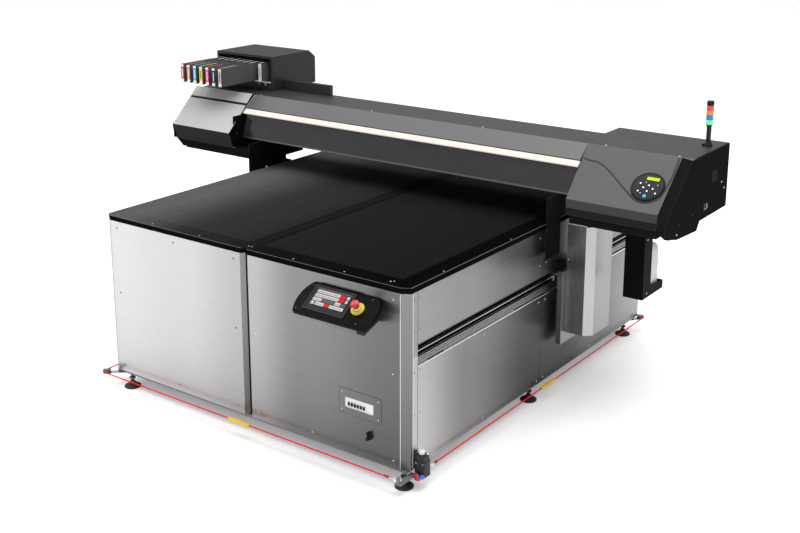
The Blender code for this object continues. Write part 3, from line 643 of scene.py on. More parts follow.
def refined(node, finish, bevel, segments=2, choose=None):
    """A node's own shape with softened edges; choose gives each face its finish number."""
    source = frame["nodes"][node]
    bm = bmesh.new()
    bm.from_mesh(source.data)
    bmesh.ops.remove_doubles(bm, verts=bm.verts, dist=0.00002)
    bmesh.ops.dissolve_limit(bm, angle_limit=math.radians(0.6), verts=bm.verts, edges=bm.edges)
    for face in bm.faces:
        face.material_index = int(choose(face.calc_center_median() - CENTRE, face.normal)) if choose else 0
    bm.transform(Matrix.Translation(-CENTRE))
    piece(node + "_skin", bm, finish, source["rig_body"], bevel, segments, 30, (node,), SLOT_OF[node])


def skin(node, bm, finish, bevel=0.0, **options):
    """A new shape in place of a node's own, on the same body."""
    body = frame["nodes"][node]["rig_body"]
    piece(node + "_skin", bm, finish, body, bevel, replaces=(node,), **options)


def paint(finish, *nodes):
    """Gives CAD nodes that stay in view a better material."""
    for node in nodes:
        mesh = frame["nodes"][node].data
        mesh.materials.clear()
        mesh.materials.append(finish)


def screw_heads(name, plane, spots, radius, finish, body, height=0.4):
    """Domed heads with a round socket, as one piece."""
    heads = []
    for u, v in spots:
        profile = ((radius, 0.0), (radius, height * radius * 0.5), (radius * 0.82, height * radius),
            (radius * 0.5, height * radius * 1.05), (radius * 0.46, height * radius * 0.5))
        heads.append(lathe(plane.spot(u, v), plane.normal, profile, 12))
    piece(name, joined(heads), finish, body, angle=50)


# ---------------------------------------------------------------- cabinets
PANEL_SCREW = 0.0045
PLINTH_TOP = 0.16


def cabinets():
    refined("front_panel_left", STEEL_LEFT, 0.0009)
    refined("front_panel_right", STEEL_RIGHT, 0.0009)
    for node in ("corner_post_left", "corner_post_right"):
        refined(node, STEEL_POST, 0.0012)
    # Centre-post faces that turn to the left get a flat light grey in place of steel: a painted reflection
    # tone.
    refined("centre_post", [STEEL_POST, POST_FACET_SHEEN], 0.001, 2, lambda place, normal: normal.x < -0.2)
    refined("side_panel_left", STEEL_SIDE, 0.0008)
    refined("side_panel_right", STEEL_SIDE, 0.0008)
    refined("rear_panel", STEEL_PLAIN, 0.0008)
    # Above the plinth the frame is coloured black: painted shade inside the cabinets.
    refined("base_frame", [PLINTH_PAINT, BOX_BLACK], 0.0008, 1, lambda place, normal: place.z > PLINTH_TOP)
    paint(BOX_BLACK, "vacuum_chamber")
    paint(DARK_STEEL, "vacuum_blower")
    # Thin bright rods along the corner posts' edges: painted highlight lines.
    edges = [lathe((side * x, y, 0), UP, ((0.0016, PANEL_LOW + 0.002), (0.0016, PANEL_HIGH - 0.001)), 10)
        for side in (-1, 1) for x, y in ((0.9285, -1.1748), (0.9697, -1.1385))]
    piece("corner_post_edge_highlights", joined(edges), STEEL_EDGE_HIGHLIGHT, "base")
    panel_screws()
    side_seams()
    rear_fittings()


def panel_screws():
    left = [(-0.883, z) for z in (0.885, 0.532, 0.125)] + [(-0.468, 0.885), (-0.468, 0.125)]
    left += [(-0.056, z) for z in (0.884, 0.532, 0.125)]
    right = [(0.075, z) for z in (0.884, 0.532, 0.125)] + [(0.42, 0.125), (0.891, 0.886)]
    right += [(0.888, 0.54), (0.891, 0.125)]
    screw_heads("front_screws_left", FRONT, left, PANEL_SCREW, DARK_STEEL, "base")
    screw_heads("front_screws_right", FRONT, right, PANEL_SCREW, BRIGHT, "base")
    pairs = [(y, z) for y in (-0.04, 0.026) for z in (0.885, 0.741, 0.543, 0.112)]
    pairs += [(-0.558, 0.542), (-0.558, 0.112), (0.549, 0.112), (0.549, 0.542), (1.13, 0.112),
        (1.13, 0.542), (1.13, 0.885)]
    rivets = [(y, z) for y in (-1.128, -1.082) for z in (0.885, 0.741, 0.55, 0.35, 0.125)]
    for plane, name in ((RIGHT, "right"), (LEFT, "left")):
        flip = 1 if plane is RIGHT else -1
        screw_heads(f"side_screws_{name}", plane, [(flip * y, z) for y, z in pairs], PANEL_SCREW, BRIGHT,
            "base")
        screw_heads(f"flange_rivets_{name}", plane, [(flip * y, z) for y, z in rivets], 0.003, DARK_STEEL,
            "base")


def side_seams():
    seam_y, flange_y, width = -0.008, -1.103, 0.0022
    slot_low, slot_high = 0.574, 0.67
    for plane, name in ((RIGHT, "right"), (LEFT, "left")):
        flip = 1 if plane is RIGHT else -1
        strips = []
        for y in (seam_y, flange_y):
            for low, high in ((PANEL_LOW + 0.001, slot_low - 0.004),
                    (slot_high + 0.004, PANEL_HIGH - 0.001)):
                strips.append(ribbon(plane, [(flip * y, low), (flip * y, high)], width, -0.0004, 0.0003))
        piece(f"side_seams_{name}", joined(strips), GROOVE, "base", slot="stainless")
        # The upper lip is drawn in black plastic as painted shade under the fold of the slot.
        for edge, z, lift, finish in (("low", slot_low - 0.0015, 0.0035, STEEL_BRIGHT),
                ("high", slot_high + 0.0015, 0.0012, BLACK_PLASTIC)):
            near, far = sorted((flip * -1.101, flip * 1.098))
            lip = slab(plane, rounded(near, far, z - 0.0025, z + 0.0025, 0.001, 2), -0.001, lift)
            piece(f"slot_lip_{edge}_{name}", lip, finish, "base", 0.0006, slot="bright_steel")
        inner = [slab(plane, rounded(-1.098, 1.098, low, high, 0.001, 2), -0.016, lift)
            for low, high, lift in ((0.5765, 0.5885, -0.006), (0.5895, 0.5975, -0.009),
            (0.5985, 0.606, -0.012))]
        piece(f"slot_tracks_{name}", joined(inner), RAIL_SIDE, "base", 0.0006)
        seal = slab(plane, rounded(-1.078, 1.078, 0.631, 0.6418, 0.001, 2), -0.0215, -0.0196)
        piece(f"rail_seals_{name}", seal, BOX_BLACK, "base", 0.0004, slot="bright_steel")


def rear_fittings():
    frames = [even_frame(REAR, column - 0.165, column + 0.165, 0.175, 0.415, 0.013, 0.012, 0.008, 0, 0.003)
        for column in (-0.5, 0.5)]
    piece("vent_frames", joined(frames), BRIGHT, "base", 0.0007)
    plate = slab(REAR, rounded(-0.14, 0.1, 0.46, 0.6, 0.008), 0, 0.002)
    piece("supply_plate", plate, DARK_STEEL, "base", 0.0008)
    inlet = even_frame(REAR, -0.1, -0.055, 0.505, 0.55, 0.006, 0.006, 0.004, 0.002, 0.01)
    rocker = slab(REAR, rounded(-0.036, -0.01, 0.508, 0.548, 0.004), 0.002, 0.008)
    pins = [slab(REAR, rounded(u - 0.002, u + 0.002, 0.522, 0.532, 0.0008, 2), 0.002, 0.007)
        for u in (-0.087, -0.0775, -0.068)]
    piece("supply_socket", joined([inlet, rocker]), BLACK_PLASTIC, "base", 0.001)
    piece("supply_pins", joined(pins), BRIGHT, "base")
    air = lathe(REAR.spot(0.055, 0.53), REAR.normal, ((0.014, 0.002), (0.014, 0.01), (0.009, 0.012),
        (0.009, 0.026), (0.006, 0.028)), 24)
    piece("air_fitting", air, BRIGHT, "base", angle=30)
    spots = [(u, v) for u in (-0.93, -0.03, 0.03, 0.93) for v in (0.125, 0.52, 0.885)]
    spots += [(-0.132, 0.468), (0.092, 0.468), (-0.132, 0.592), (0.092, 0.592)]
    screw_heads("rear_screws", REAR, spots, PANEL_SCREW, BRIGHT, "base")
    seam = ribbon(REAR, [(-SPLIT_X, PANEL_LOW + 0.001), (-SPLIT_X, PANEL_HIGH - 0.001)], 0.003, -0.0004,
        0.0003)
    piece("rear_seam", seam, GROOVE, "base", slot="stainless")


def table():
    refined("table_left", BED_FINISH, 0.0022, 3)
    refined("table_right", BED_FINISH, 0.0022, 3)
    spots = [(-0.64, -1.148), (-0.308, -1.146), (0.3, -1.146), (0.842, -1.127), (0.854, -1.118)]
    spots += [(x, -1.148) for x in (-0.9, 0.6)]
    spots += [(x, y) for x in (-0.949, 0.952) for y in (-0.88, -0.3, 0.3, 0.88)]
    spots += [(x, 1.148) for x in (-0.9, -0.45, 0.45, 0.9)]
    spots += [(x, y) for x in (0.002, 0.021) for y in (-1.126, 1.126)]
    # Light lines just inside the table's top edges: painted highlight of the rounded edge.
    rims = []
    for side in (-1, 1):
        inner, outer, corner = SPLIT_X + side * 0.019, side * (BASE_X - 0.0035), side * (BASE_X - 0.044)
        rims.append(ribbon(BED, [(inner, -1.1712), (corner, -1.1712), (outer, -1.148), (outer, 1.148),
            (corner, 1.1712), (inner, 1.1712)], 0.0026, -0.0003, 0.0004))
    piece("table_edge_highlight_lines", joined(rims), EDGE_HIGHLIGHT_GREY, "base")
    screw_heads("table_screws", BED, spots, 0.0038, BRIGHT, "base", 0.2)


def feet():
    threads = []
    for turn in range(9):
        z = 0.02 + 0.003 * turn
        threads += [(0.0078, z), (0.0064, z + 0.0015)]
    for row in ("front", "middle", "rear"):
        for side in ("left", "right"):
            node = f"foot_{row}_{side}"
            low, high = span(node)
            centre = midpoint(low, high)
            radius = (high.x - low.x) / 2
            pad = lathe(centre, UP, ((radius - 0.002, 0.0), (radius, 0.002), (radius, 0.007),
                (radius - 0.003, 0.01), (0.032, 0.013), (0.016, 0.019), (0.01, 0.022), (0.01, 0.026)), 48)
            piece(node + "_pad", pad, RUBBER, "base", replaces=(node,), angle=50)
            stud = lathe(centre, UP, threads + [(0.0075, 0.047), (0.0075, 0.0745)], 20)
            piece(node + "_stud", stud, DARK_STEEL, "base")
            upper = ((0.015, 0.0465), (0.017, 0.048), (0.017, 0.0545), (0.015, 0.056))
            lower = ((0.013, 0.0262), (0.0145, 0.0275), (0.0145, 0.0325), (0.013, 0.0338))
            nuts = [lathe(centre, UP, profile, 6) for profile in (upper, lower)]
            piece(node + "_nuts", joined(nuts), BLACK_PLASTIC if side == "right" else DARK_STEEL, "base",
                0.0005, slot="bright_steel")


# ---------------------------------------------------------------- operator's pieces
def operator_panel():
    length = 0.1792
    low_x, high_x = 0.418, 0.856
    middle, half = (low_x + high_x) / 2, (high_x - low_x) / 2
    start, steps = 0.008, 14
    left, right = [], []
    for step in range(steps + 1):
        down = start + (length - start) * step / steps
        swell = (down / length - 0.56) / 0.56
        left.append((middle - half + 0.038 * abs(swell) ** 2.2, -down))
        right.append((middle + half - 0.042 * abs(swell) ** 2.2, -down))
    outline = left + right[::-1]
    inner = [(middle + (u - middle) * 0.955, -length / 2 + (v + length / 2) * 0.9) for u, v in outline]
    body = loft([[PANEL.spot(u, v, lift) for u, v in points] for points, lift in ((inner, -0.022),
        (outline, -0.019), (outline, -0.0035), (inner, -0.0003))])
    skin("touch_panel_housing", body, PANEL_BLACK, 0.0012)
    bracket_low, bracket_high = PANEL.spot(0, -0.14, -0.018), PANEL.spot(0, -0.045, -0.018)
    wedge = [(-BASE_Y - 0.0003, 0.862), (bracket_high.y, bracket_high.z), (bracket_low.y, bracket_low.z),
        (-1.287, 0.738), (-1.279, 0.733), (-BASE_Y - 0.0003, 0.768)]
    support = slab(UPRIGHT, wedge, 0.456, 0.812)
    piece("touch_panel_bracket", support, SATIN_BLACK, "base", 0.002)
    tray = box((0.458, -1.2895, 0.736), (0.778, -1.2865, 0.766))
    piece("touch_panel_tray_front", tray, STEEL_RIGHT, "base", 0.0008)
    hook = tube(smooth_path([(0.452, -1.285, 0.778), (0.452, -1.288, 0.762), (0.458, -1.29, 0.754),
        (0.468, -1.29, 0.756)]), 0.003)
    piece("cable_hook", hook, SATIN_BLACK, "base")
    screen()
    emergency_stop()
    spots = [(0.795, -0.023), (0.786, -0.158), (0.448, -0.158), (0.462, -0.023)]
    screw_heads("panel_screws", PANEL, spots, 0.0028, DARK_STEEL, "base", 0.3)


MARK_PITCH = 0.0085


def screen():
    u_low, u_high, v_low, v_high = 0.478, 0.71, -0.153, -0.018
    bezel = even_frame(PANEL, u_low, u_high, v_low, v_high, 0.008, 0.006, 0.003, -0.001, 0.0042)
    piece("touch_screen_bezel", bezel, BLACK_PLASTIC, "base", 0.0008)
    glass = slab(PANEL, rounded(u_low + 0.008, u_high - 0.008, v_low + 0.008, v_high - 0.008, 0.003),
        -0.001, 0.0024)
    piece("touch_screen_glass", glass, GLASS_BLACK, "base", replaces=("touch_screen",))
    shown_u, shown_v = (0.505, 0.686), (-0.124, -0.04)
    white, grey, red = [], [], []
    rows = (((0.0, 0.7), (0.92, 1.0)), ((0.0, 0.72), (0.93, 1.0)), ((0.0, 0.26), (0.68, 0.84)),
        ((0.0, 0.09), (0.13, 0.4), (0.58, 1.0)))
    alerts = (((0.71, 0.88),), ((0.73, 0.88),), (), ((0.42, 0.56),))
    dim = ((), (), ((0.28, 0.66), (0.86, 1.0)), ())
    wide, tall = shown_u[1] - shown_u[0], (shown_v[1] - shown_v[0]) / len(rows)
    for row in range(len(rows)):
        top_v = shown_v[1] - row * tall
        bottom_v = top_v - tall * 0.8
        for spans, heap in ((rows[row], white), (alerts[row], red), (dim[row], grey)):
            for low, high in spans:
                left_u, right_u = shown_u[0] + low * wide, shown_u[0] + high * wide
                cell = rounded(left_u, right_u, bottom_v, top_v - 0.0015, 0.001, 2)
                heap.append(slab(PANEL, cell, 0.0023, 0.0027))
                marks = int((right_u - left_u) / MARK_PITCH)
                for mark in range(marks if heap is white else 0):
                    mark_u = left_u + 0.0035 + mark * MARK_PITCH
                    shape = rounded(mark_u, mark_u + 0.0046, bottom_v + 0.003, bottom_v + 0.0105, 0.0008, 2)
                    grey.append(slab(PANEL, shape, 0.0026, 0.0029))
        red.append(slab(PANEL, rounded(shown_u[0], shown_u[0] + 0.9 * wide, top_v - 0.0002, top_v + 0.0014,
            0.0005, 2), 0.0023, 0.0027))
    grey.append(slab(PANEL, rounded(shown_u[0] - 0.004, shown_u[1] + 0.006, shown_v[1] + 0.004,
        shown_v[1] + 0.01, 0.001, 2), 0.0023, 0.0027))
    piece("display_cells", joined(white), UI_WHITE, "base")
    piece("display_marks", joined(grey), UI_GREY, "base")
    piece("display_alerts", joined(red), UI_RED, "base")


def emergency_stop():
    u, v = 0.754, -0.087
    centre = PANEL.spot(u, v)
    collar = lathe(centre, PANEL.normal, ((0.032, 0.0), (0.0325, 0.0015), (0.0325, 0.0045), (0.031, 0.007),
        (0.026, 0.0082), (0.018, 0.0085), (0.017, 0.006)), 48)
    skin("estop_collar", collar, STOP_YELLOW)
    marks = []
    for turn in range(4):
        angle = math.radians(45 + 90 * turn)
        marks.append(lathe(PANEL.spot(u + 0.0245 * math.cos(angle), v + 0.0245 * math.sin(angle), 0.0078),
            PANEL.normal, ((0.0022, 0.0), (0.0014, 0.001)), 3))
    piece("estop_marks", joined(marks), BLACK_PLASTIC, "base")
    neck = lathe(centre, PANEL.normal, ((0.0125, 0.005), (0.0125, 0.024)), 36)
    piece("estop_neck", neck, PALE, "base")
    head = lathe(centre, PANEL.normal, ((0.013, 0.019), (0.015, 0.021), (0.0155, 0.031), (0.02, 0.035),
        (0.0212, 0.0385), (0.0208, 0.0425), (0.018, 0.046), (0.011, 0.048), (0.002, 0.0485)), 48)
    skin("estop_button", head, STOP_RED, angle=60)


def service_window():
    low, high = span("service_window")
    face = facing_front(low.y)
    outer = rounded(low.x, high.x, low.z, high.z, 0.004)
    opening = (0.616, 0.78, 0.309, 0.36)
    hole = rounded(*opening, 0.003)
    plate = framing(face, outer, hole, -0.0045, 0.0002)
    piece("service_window_plate", plate, STEEL_RIGHT, "base", 0.0006, replaces=("service_window",))
    shadow = even_frame(FRONT, low.x - 0.0022, high.x + 0.0022, low.z - 0.0022, high.z + 0.0022, 0.002,
        0.005, 0.004, -0.0002, 0.0003)
    piece("service_window_gap", shadow, GROOVE, "base", slot="stainless")
    backing = slab(face, rounded(opening[0] - 0.002, opening[1] + 0.002, opening[2] - 0.002,
        opening[3] + 0.002, 0.003), -0.006, -0.0032)
    piece("breaker_backing", backing, PALE, "base")
    toggles, housings = [], []
    for number in range(6):
        u = 0.64 + 0.0172 * number
        housings.append(slab(face, rounded(u - 0.0078, u + 0.0078, 0.3115, 0.3395, 0.001, 2), -0.0034,
            -0.0022))
        toggles.append(slab(face, rounded(u - 0.0052, u + 0.0052, 0.321, 0.3375, 0.0015, 3), -0.0024,
            0.0016))
    piece("breaker_bodies", joined(housings), PALE, "base", 0.0004)
    piece("breaker_toggles", joined(toggles), BLACK_PLASTIC, "base", 0.0005)
    spots = [(0.6, 0.382), (0.808, 0.384), (0.6, 0.297), (0.808, 0.297)]
    screw_heads("service_window_screws", face, spots, 0.0036, BRIGHT, "base")


def main_switch():
    low, high = span("main_switch_knob")
    centre = ((low.x + high.x) / 2, -BASE_Y, (low.z + high.z) / 2)
    base = lathe(centre, (0, -1, 0), ((0.0195, 0.0003), (0.02, 0.0015), (0.02, 0.005), (0.0182, 0.0075),
        (0.012, 0.0085)), 40)
    skin("main_switch_knob", base, BLACK_PLASTIC)
    face = Plane(centre, (1, 0, 0), UP)
    grip = loft([[face.spot(u * scale, v * scale, lift) for u, v in rounded(-0.0052, 0.0052, -0.0178,
        0.0178, 0.0045)] for lift, scale in ((0.007, 1.08), (0.022, 1.0), (0.0255, 0.86))])
    piece("main_switch_grip", grip, BLACK_PLASTIC, "main_switch_knob", 0.0004)
    mark = slab(face, rounded(-0.0009, 0.0009, 0.005, 0.015, 0.0008, 2), 0.025, 0.0259)
    piece("main_switch_mark", mark, PALE, "main_switch_knob")


# ---------------------------------------------------------------- safety rope
ROPE_PULLEYS = ("rope_pulley_front_left", "rope_pulley_rear_left", "rope_pulley_rear_right")
ROPE_RADIUS = 0.0034


def rope_turn(x, y, radius, start):
    """Quarter turn round a pulley, as points at rope height."""
    return [(x + radius * math.cos(math.radians(start - 90 * step / 10)),
        y + radius * math.sin(math.radians(start - 90 * step / 10)), ROPE_Z) for step in range(11)]


def safety_rope():
    low, high = span("pull_rope")
    left, right = low.x + ROPE_RADIUS, high.x - ROPE_RADIUS
    front, rear = low.y + ROPE_RADIUS, high.y - ROPE_RADIUS
    wrap = 0.02
    route = [(0.957, front, ROPE_Z)]
    centres = ((left + wrap, front + wrap, 270), (left + wrap, rear - wrap, 180),
        (right - wrap, rear - wrap, 90))
    for x, y, start in centres:
        route += rope_turn(x, y, wrap, start)
    route.append((right, -1.0847, ROPE_Z))
    skin("pull_rope", tube(route, ROPE_RADIUS), ROPE_RED, angle=80)
    sleeve = ((0.0042, 0.0), (0.0085, 0.0015), (0.01, 0.006), (0.01, 0.134), (0.0085, 0.1385),
        (0.0042, 0.14))
    sleeves = [lathe((-0.062, front, ROPE_Z), (1, 0, 0), sleeve, 8, math.radians(22.5)),
        lathe((right, -0.045, ROPE_Z), (0, 1, 0), sleeve, 8, math.radians(22.5))]
    piece("rope_sleeves", joined(sleeves), SLEEVE_YELLOW, "base", 0.0008)
    rope_pulleys(centres)
    rope_ends(front, right)


def rope_pulleys(centres):
    groove = ((0.01, -0.0078), (0.0218, -0.0078), (0.0222, -0.0055), (0.0172, -0.003), (0.0168, 0.0),
        (0.0172, 0.003), (0.0222, 0.0055), (0.0218, 0.0078), (0.01, 0.0078))
    for node, (x, y, _start) in zip(ROPE_PULLEYS, centres):
        disc = lathe((x, y, ROPE_Z), UP, groove, 40)
        piece(node + "_disc", disc, DARK_STEEL, "base", replaces=(node,))
        toward_x, toward_y = -math.copysign(1, x), -math.copysign(1, y)
        arm = [(x - toward_x * 0.01, y - toward_y * 0.006), (x + toward_x * 0.014, y - toward_y * 0.006),
            (x + toward_x * 0.095, y + toward_y * 0.075), (x + toward_x * 0.095, y + toward_y * 0.1),
            (x + toward_x * 0.06, y + toward_y * 0.1), (x - toward_x * 0.01, y + toward_y * 0.02)]
        piece(node + "_bracket", slab(LEVEL, arm, 0.069, 0.0722), STEEL_PLAIN, "base", 0.0008)
        bolt = lathe((x, y, ROPE_Z), UP, ((0.0075, 0.0078), (0.0075, 0.0118), (0.006, 0.0132),
            (0.003, 0.0132)), 6)
        piece(node + "_bolt", bolt, BRIGHT, "base", 0.0005)


def ferrule(start, heading):
    length = 0.03
    return lathe(start, heading, ((0.0038, 0.0), (0.0062, 0.002), (0.0066, 0.008), (0.0062, length - 0.003),
        (0.004, length)), 20)


def eye(centre, normal, across):
    """A bent-wire eye: a ring stretched along one direction."""
    radius, thick = 0.0105, 0.0028
    normal, across = Vector(normal).normalized(), Vector(across).normalized()
    other = normal.cross(across)
    ring = []
    for step in range(24):
        angle = 2 * math.pi * step / 24
        long_way = across * 1.5 * radius * math.cos(angle)
        ring.append(Vector(centre) + long_way + other * radius * math.sin(angle))
    rings = []
    for index, here in enumerate(ring):
        heading = (ring[(index + 1) % 24] - ring[index - 1]).normalized()
        side = heading.cross(normal)
        rings.append([here + (side * math.cos(turn) + normal * math.sin(turn)) * thick
            for turn in (2 * math.pi * part / 10 for part in range(10))])
    return loft(rings, closed=True)


def rope_ends(front, right):
    """Hooks and ferrules at both ends of the rope, and the switch that it pulls."""
    reds = [ferrule((0.915, front, ROPE_Z), (-1, 0, 0)), ferrule((right, -1.018, ROPE_Z), (0, 1, 0))]
    piece("rope_ferrules", joined(reds), STOP_RED, "base", slot="rope_red")
    eyes = (((0.93, front, ROPE_Z), (0, 0.5, 0.86), (1, 0, 0)), ((0.952, front, ROPE_Z + 0.002),
        (0.2, 1, 0), (1, 0, 0.4)), ((right, -1.05, ROPE_Z), (0.86, 0, 0.5), (0, 1, 0)),
        ((right, -1.072, ROPE_Z), (0.1, 0, 1), (0, 1, 0)))
    hooks = [eye(*row) for row in eyes]
    piece("rope_hooks", joined(hooks), BRIGHT, "base", angle=70)
    barrel = ((0.009, -0.01), (0.0125, -0.006), (0.0125, 0.006), (0.009, 0.01))
    pin = ((0.006, -0.012), (0.0075, -0.008), (0.0075, 0.008), (0.006, 0.012))
    shackle = joined([lathe((0.95, front, ROPE_Z + 0.003), (1, 0, 0), barrel, 8),
        lathe((0.964, front + 0.004, ROPE_Z - 0.004), (0.3, 1, 0.4), pin, 6)])
    thimble = lathe((right, -1.06, ROPE_Z), (0, 1, 0), ((0.005, 0.0), (0.0082, 0.004), (0.0082, 0.036),
        (0.005, 0.04)), 8)
    piece("rope_thimble", thimble, PALE_STEEL, "base", 0.0008)
    piece("rope_shackle", shackle, PALE_STEEL, "base", 0.0008)
    clip = lathe((right, -1.0855, ROPE_Z), (0, 1, 0), ((0.0075, 0.0), (0.0075, 0.006), (0.005, 0.008),
        (0.005, 0.012)), 20)
    anchor = lathe((0.9645, front + 0.01, 0.088), (0, -1, 0), ((0.0065, 0.0), (0.0065, 0.004),
        (0.0045, 0.006)), 6)
    piece("rope_clips", joined([clip, anchor]), BRIGHT, "base", 0.0005)
    rope_switch()


def rope_switch():
    x_low, x_high, y_low, y_high = 0.9753, 1.03, -1.135, -1.085
    middle_x = (x_low + x_high) / 2
    top = span("rope_switch")[1].z
    body = slab(LEVEL, rounded(x_low, x_high, y_low, y_high, 0.005, 4), 0.062, top - 0.028)
    step_in = rounded(x_low + 0.002, x_high - 0.002, y_low + 0.002, y_high - 0.002, 0.006, 4)
    upper = slab(LEVEL, step_in, top - 0.028, top - 0.001)
    arm = box((0.951, -1.25, 0.0612), (0.984, -1.122, 0.066))
    clamp = box((0.9575, -1.248, 0.0652), (0.9715, -1.232, 0.0948))
    piece("rope_switch_body", joined([body, upper]), SATIN_BLACK, "base", 0.0015, replaces=("rope_switch",))
    piece("rope_switch_arm", joined([arm, clamp]), PLINTH_PAINT, "base", 0.0012)
    front_face = facing_front(y_low)
    spots = [(middle_x - 0.018, 0.076), (middle_x + 0.018, 0.076), (middle_x - 0.018, 0.128),
        (middle_x + 0.018, 0.128)]
    screw_heads("rope_switch_screws", front_face, spots, 0.0032, BRIGHT, "base")
    gland = lathe((x_high - 0.012, y_high - 0.012, top - 0.006), (0.5, 0.4, 0.6),
        ((0.008, 0.0), (0.008, 0.008), (0.006, 0.009), (0.006, 0.014)), 6)
    piece("rope_switch_gland", gland, BRIGHT, "base", 0.0005)
    knob = lathe((middle_x - 0.004, y_low, 0.068), (0, -1, -0.25), ((0.006, 0.0), (0.006, 0.006),
        (0.0185, 0.008), (0.019, 0.014), (0.015, 0.018)), 32)
    piece("rope_test_knob", knob, STOP_RED, "base", angle=60)
    lever = lathe((middle_x + 0.022, y_low, 0.074), (0.1, -1, -0.1), ((0.006, 0.0), (0.01, 0.003),
        (0.01, 0.014), (0.008, 0.017)), 24)
    piece("rope_test_lever", lever, BLUE, "base", angle=60)
    cap = lathe((1.0, -1.11, 0), UP, ((0.0085, 0.156), (0.0085, 0.1655), (0.014, 0.166), (0.0143, 0.17),
        (0.014, 0.18), (0.0125, 0.184), (0.009, 0.185)), 40)
    skin("rope_reset_button", cap, PALE, angle=60)


# ---------------------------------------------------------------- rails and trolley
RAIL_HEAD_LOW, RAIL_FOOT_HIGH = 0.624, 0.611


def rail_faces(place, normal):
    if abs(normal.x) > 0.7 and place.z > RAIL_HEAD_LOW:
        return 1
    return 2 if abs(normal.x) > 0.7 and place.z < RAIL_FOOT_HIGH else 0


# Lift covers take stainless copies in different tones for sides, fronts and chamfers: lit and shaded copies
# of one finish, painted light.
def lift_cover_faces(place, normal):
    if normal.y < -0.9:
        return 1
    return 2 if abs(normal.y) > 0.25 and abs(normal.x) > 0.25 else 0


def rails_and_trolley():
    for side in ("left", "right"):
        refined(f"guide_rail_{side}", [BOX_BLACK, RAIL_HEAD, RAIL_SIDE], 0.001, 2, rail_faces)
    paint(STEEL_BRIGHT, "travel_screw")
    refined("trolley_frame", STEEL_TROLLEY, 0.001)
    for side, sign in (("left", -1), ("right", 1)):
        node = f"lift_cover_{side}"
        # lit and shaded stainless copies per face: painted light
        refined(node, [STEEL_LIFT_SIDE, STEEL_LIFT_FRONT, STEEL_LIFT_EDGE], 0.0008, 2, lift_cover_faces)
        low, high = span(node)
        near = (low.x if sign > 0 else high.x) + sign * 0.008
        front = [(near, z) for z in (0.398, 0.741, 0.894)] + [(near + sign * 0.066, 0.916)]
        rear = [(-near, z) for z in (0.398, 0.65, 0.894)]
        screw_heads(f"lift_screws_{side}", facing_front(low.y), front, 0.0035, BRIGHT, "trolley")
        screw_heads(f"lift_rear_screws_{side}", facing_rear(high.y), rear, 0.0035, BRIGHT, "trolley")
        rollers(side, sign)


def rollers(side, sign):
    """Carriage blocks that run on the rail, with their bolts."""
    blocks, bolts = [], []
    x_low, x_high = sorted((sign * 0.951, sign * 0.966))
    for y in (0.118, 0.318):
        blocks.append(box((x_low, y, 0.6135), (x_high, y + 0.06, 0.64)))
        for step in (0.015, 0.045):
            bolts.append(lathe((sign * 0.966, y + step, 0.6268), (sign, 0, 0),
                ((0.005, 0.0), (0.005, 0.003), (0.003, 0.0034)), 6))
    piece(f"guide_blocks_{side}", joined(blocks), STEEL_BRIGHT, "trolley", 0.0012)
    piece(f"guide_block_bolts_{side}", joined(bolts), DARK_STEEL, "trolley")


# ---------------------------------------------------------------- gantry
LIGHT_TOP = 1.2775
FLARE_X = 1.592
LEFT_BAND_LOW = 1.09


def right_cover_faces(place, normal):
    if normal.x > 0.9 or normal.z < -0.5:
        return 2
    if place.x > FLARE_X:
        return 2 if normal.z < 0.3 else 3
    return 0 if normal.z > 0.5 else 1


def left_cover_faces(place, normal):
    if abs(normal.x) > 0.8:
        return 2
    if normal.y < -0.3 and normal.z > 0.45 or normal.z > 0.9:
        return 0
    if place.z > LEFT_BAND_LOW:
        return 1
    return 3 if normal.z > -0.5 else 2


def fascia_faces(place, normal):
    return 0 if place.z > LIGHT_TOP and normal.y < 0 or normal.z > 0.9 else 1


def gantry():
    # The right cover's band takes its own lighter tone, a lit copy of the band paint: painted light.
    refined("gantry_right_cover", [COVER_FACE, RIGHT_BAND, END_BLACK, BOX_BLACK], 0.0018, 3,
        right_cover_faces)
    # The left cover's face takes the lighter lit copy of the cover paint: painted light.
    refined("gantry_left_cover", [COVER_FACE_LIT, COVER_DARK, BOX_BLACK, COVER_DARK], 0.0018, 3,
        left_cover_faces)
    refined("gantry_top_cover", [COVER_TOP, BOX_BLACK], 0.0018, 3, lambda place,
        normal: abs(normal.z) < 0.5)
    refined("fascia", [FASCIA, COVER_BAND], 0.0012, 2, fascia_faces)
    refined("light_bar", LIGHT, 0.0015, 3)
    refined("front_window", WINDOW, 0.0006)
    refined("gantry_chassis", BOX_BLACK, 0.0012)
    paint(BLACK_PLASTIC, "print_carriage")
    paint(STEEL_BRIGHT, "carriage_pulley")
    paint(RUBBER, "carriage_belt")
    window_trim()
    right_cover_details()
    left_cover_details()
    top_cover_details()


def window_trim():
    low, high = span("front_window")
    section = ((low.y - 0.0022, low.z - 0.002), (low.y + 0.0052, low.z - 0.0035),
        (low.y + 0.008, low.z + 0.0042), (low.y + 0.0006, low.z + 0.006))
    edge = slab(UPRIGHT, section, low.x + 0.004, high.x - 0.004)
    piece("window_edge_rail", edge, DARK_STEEL, "front_window", 0.0008)


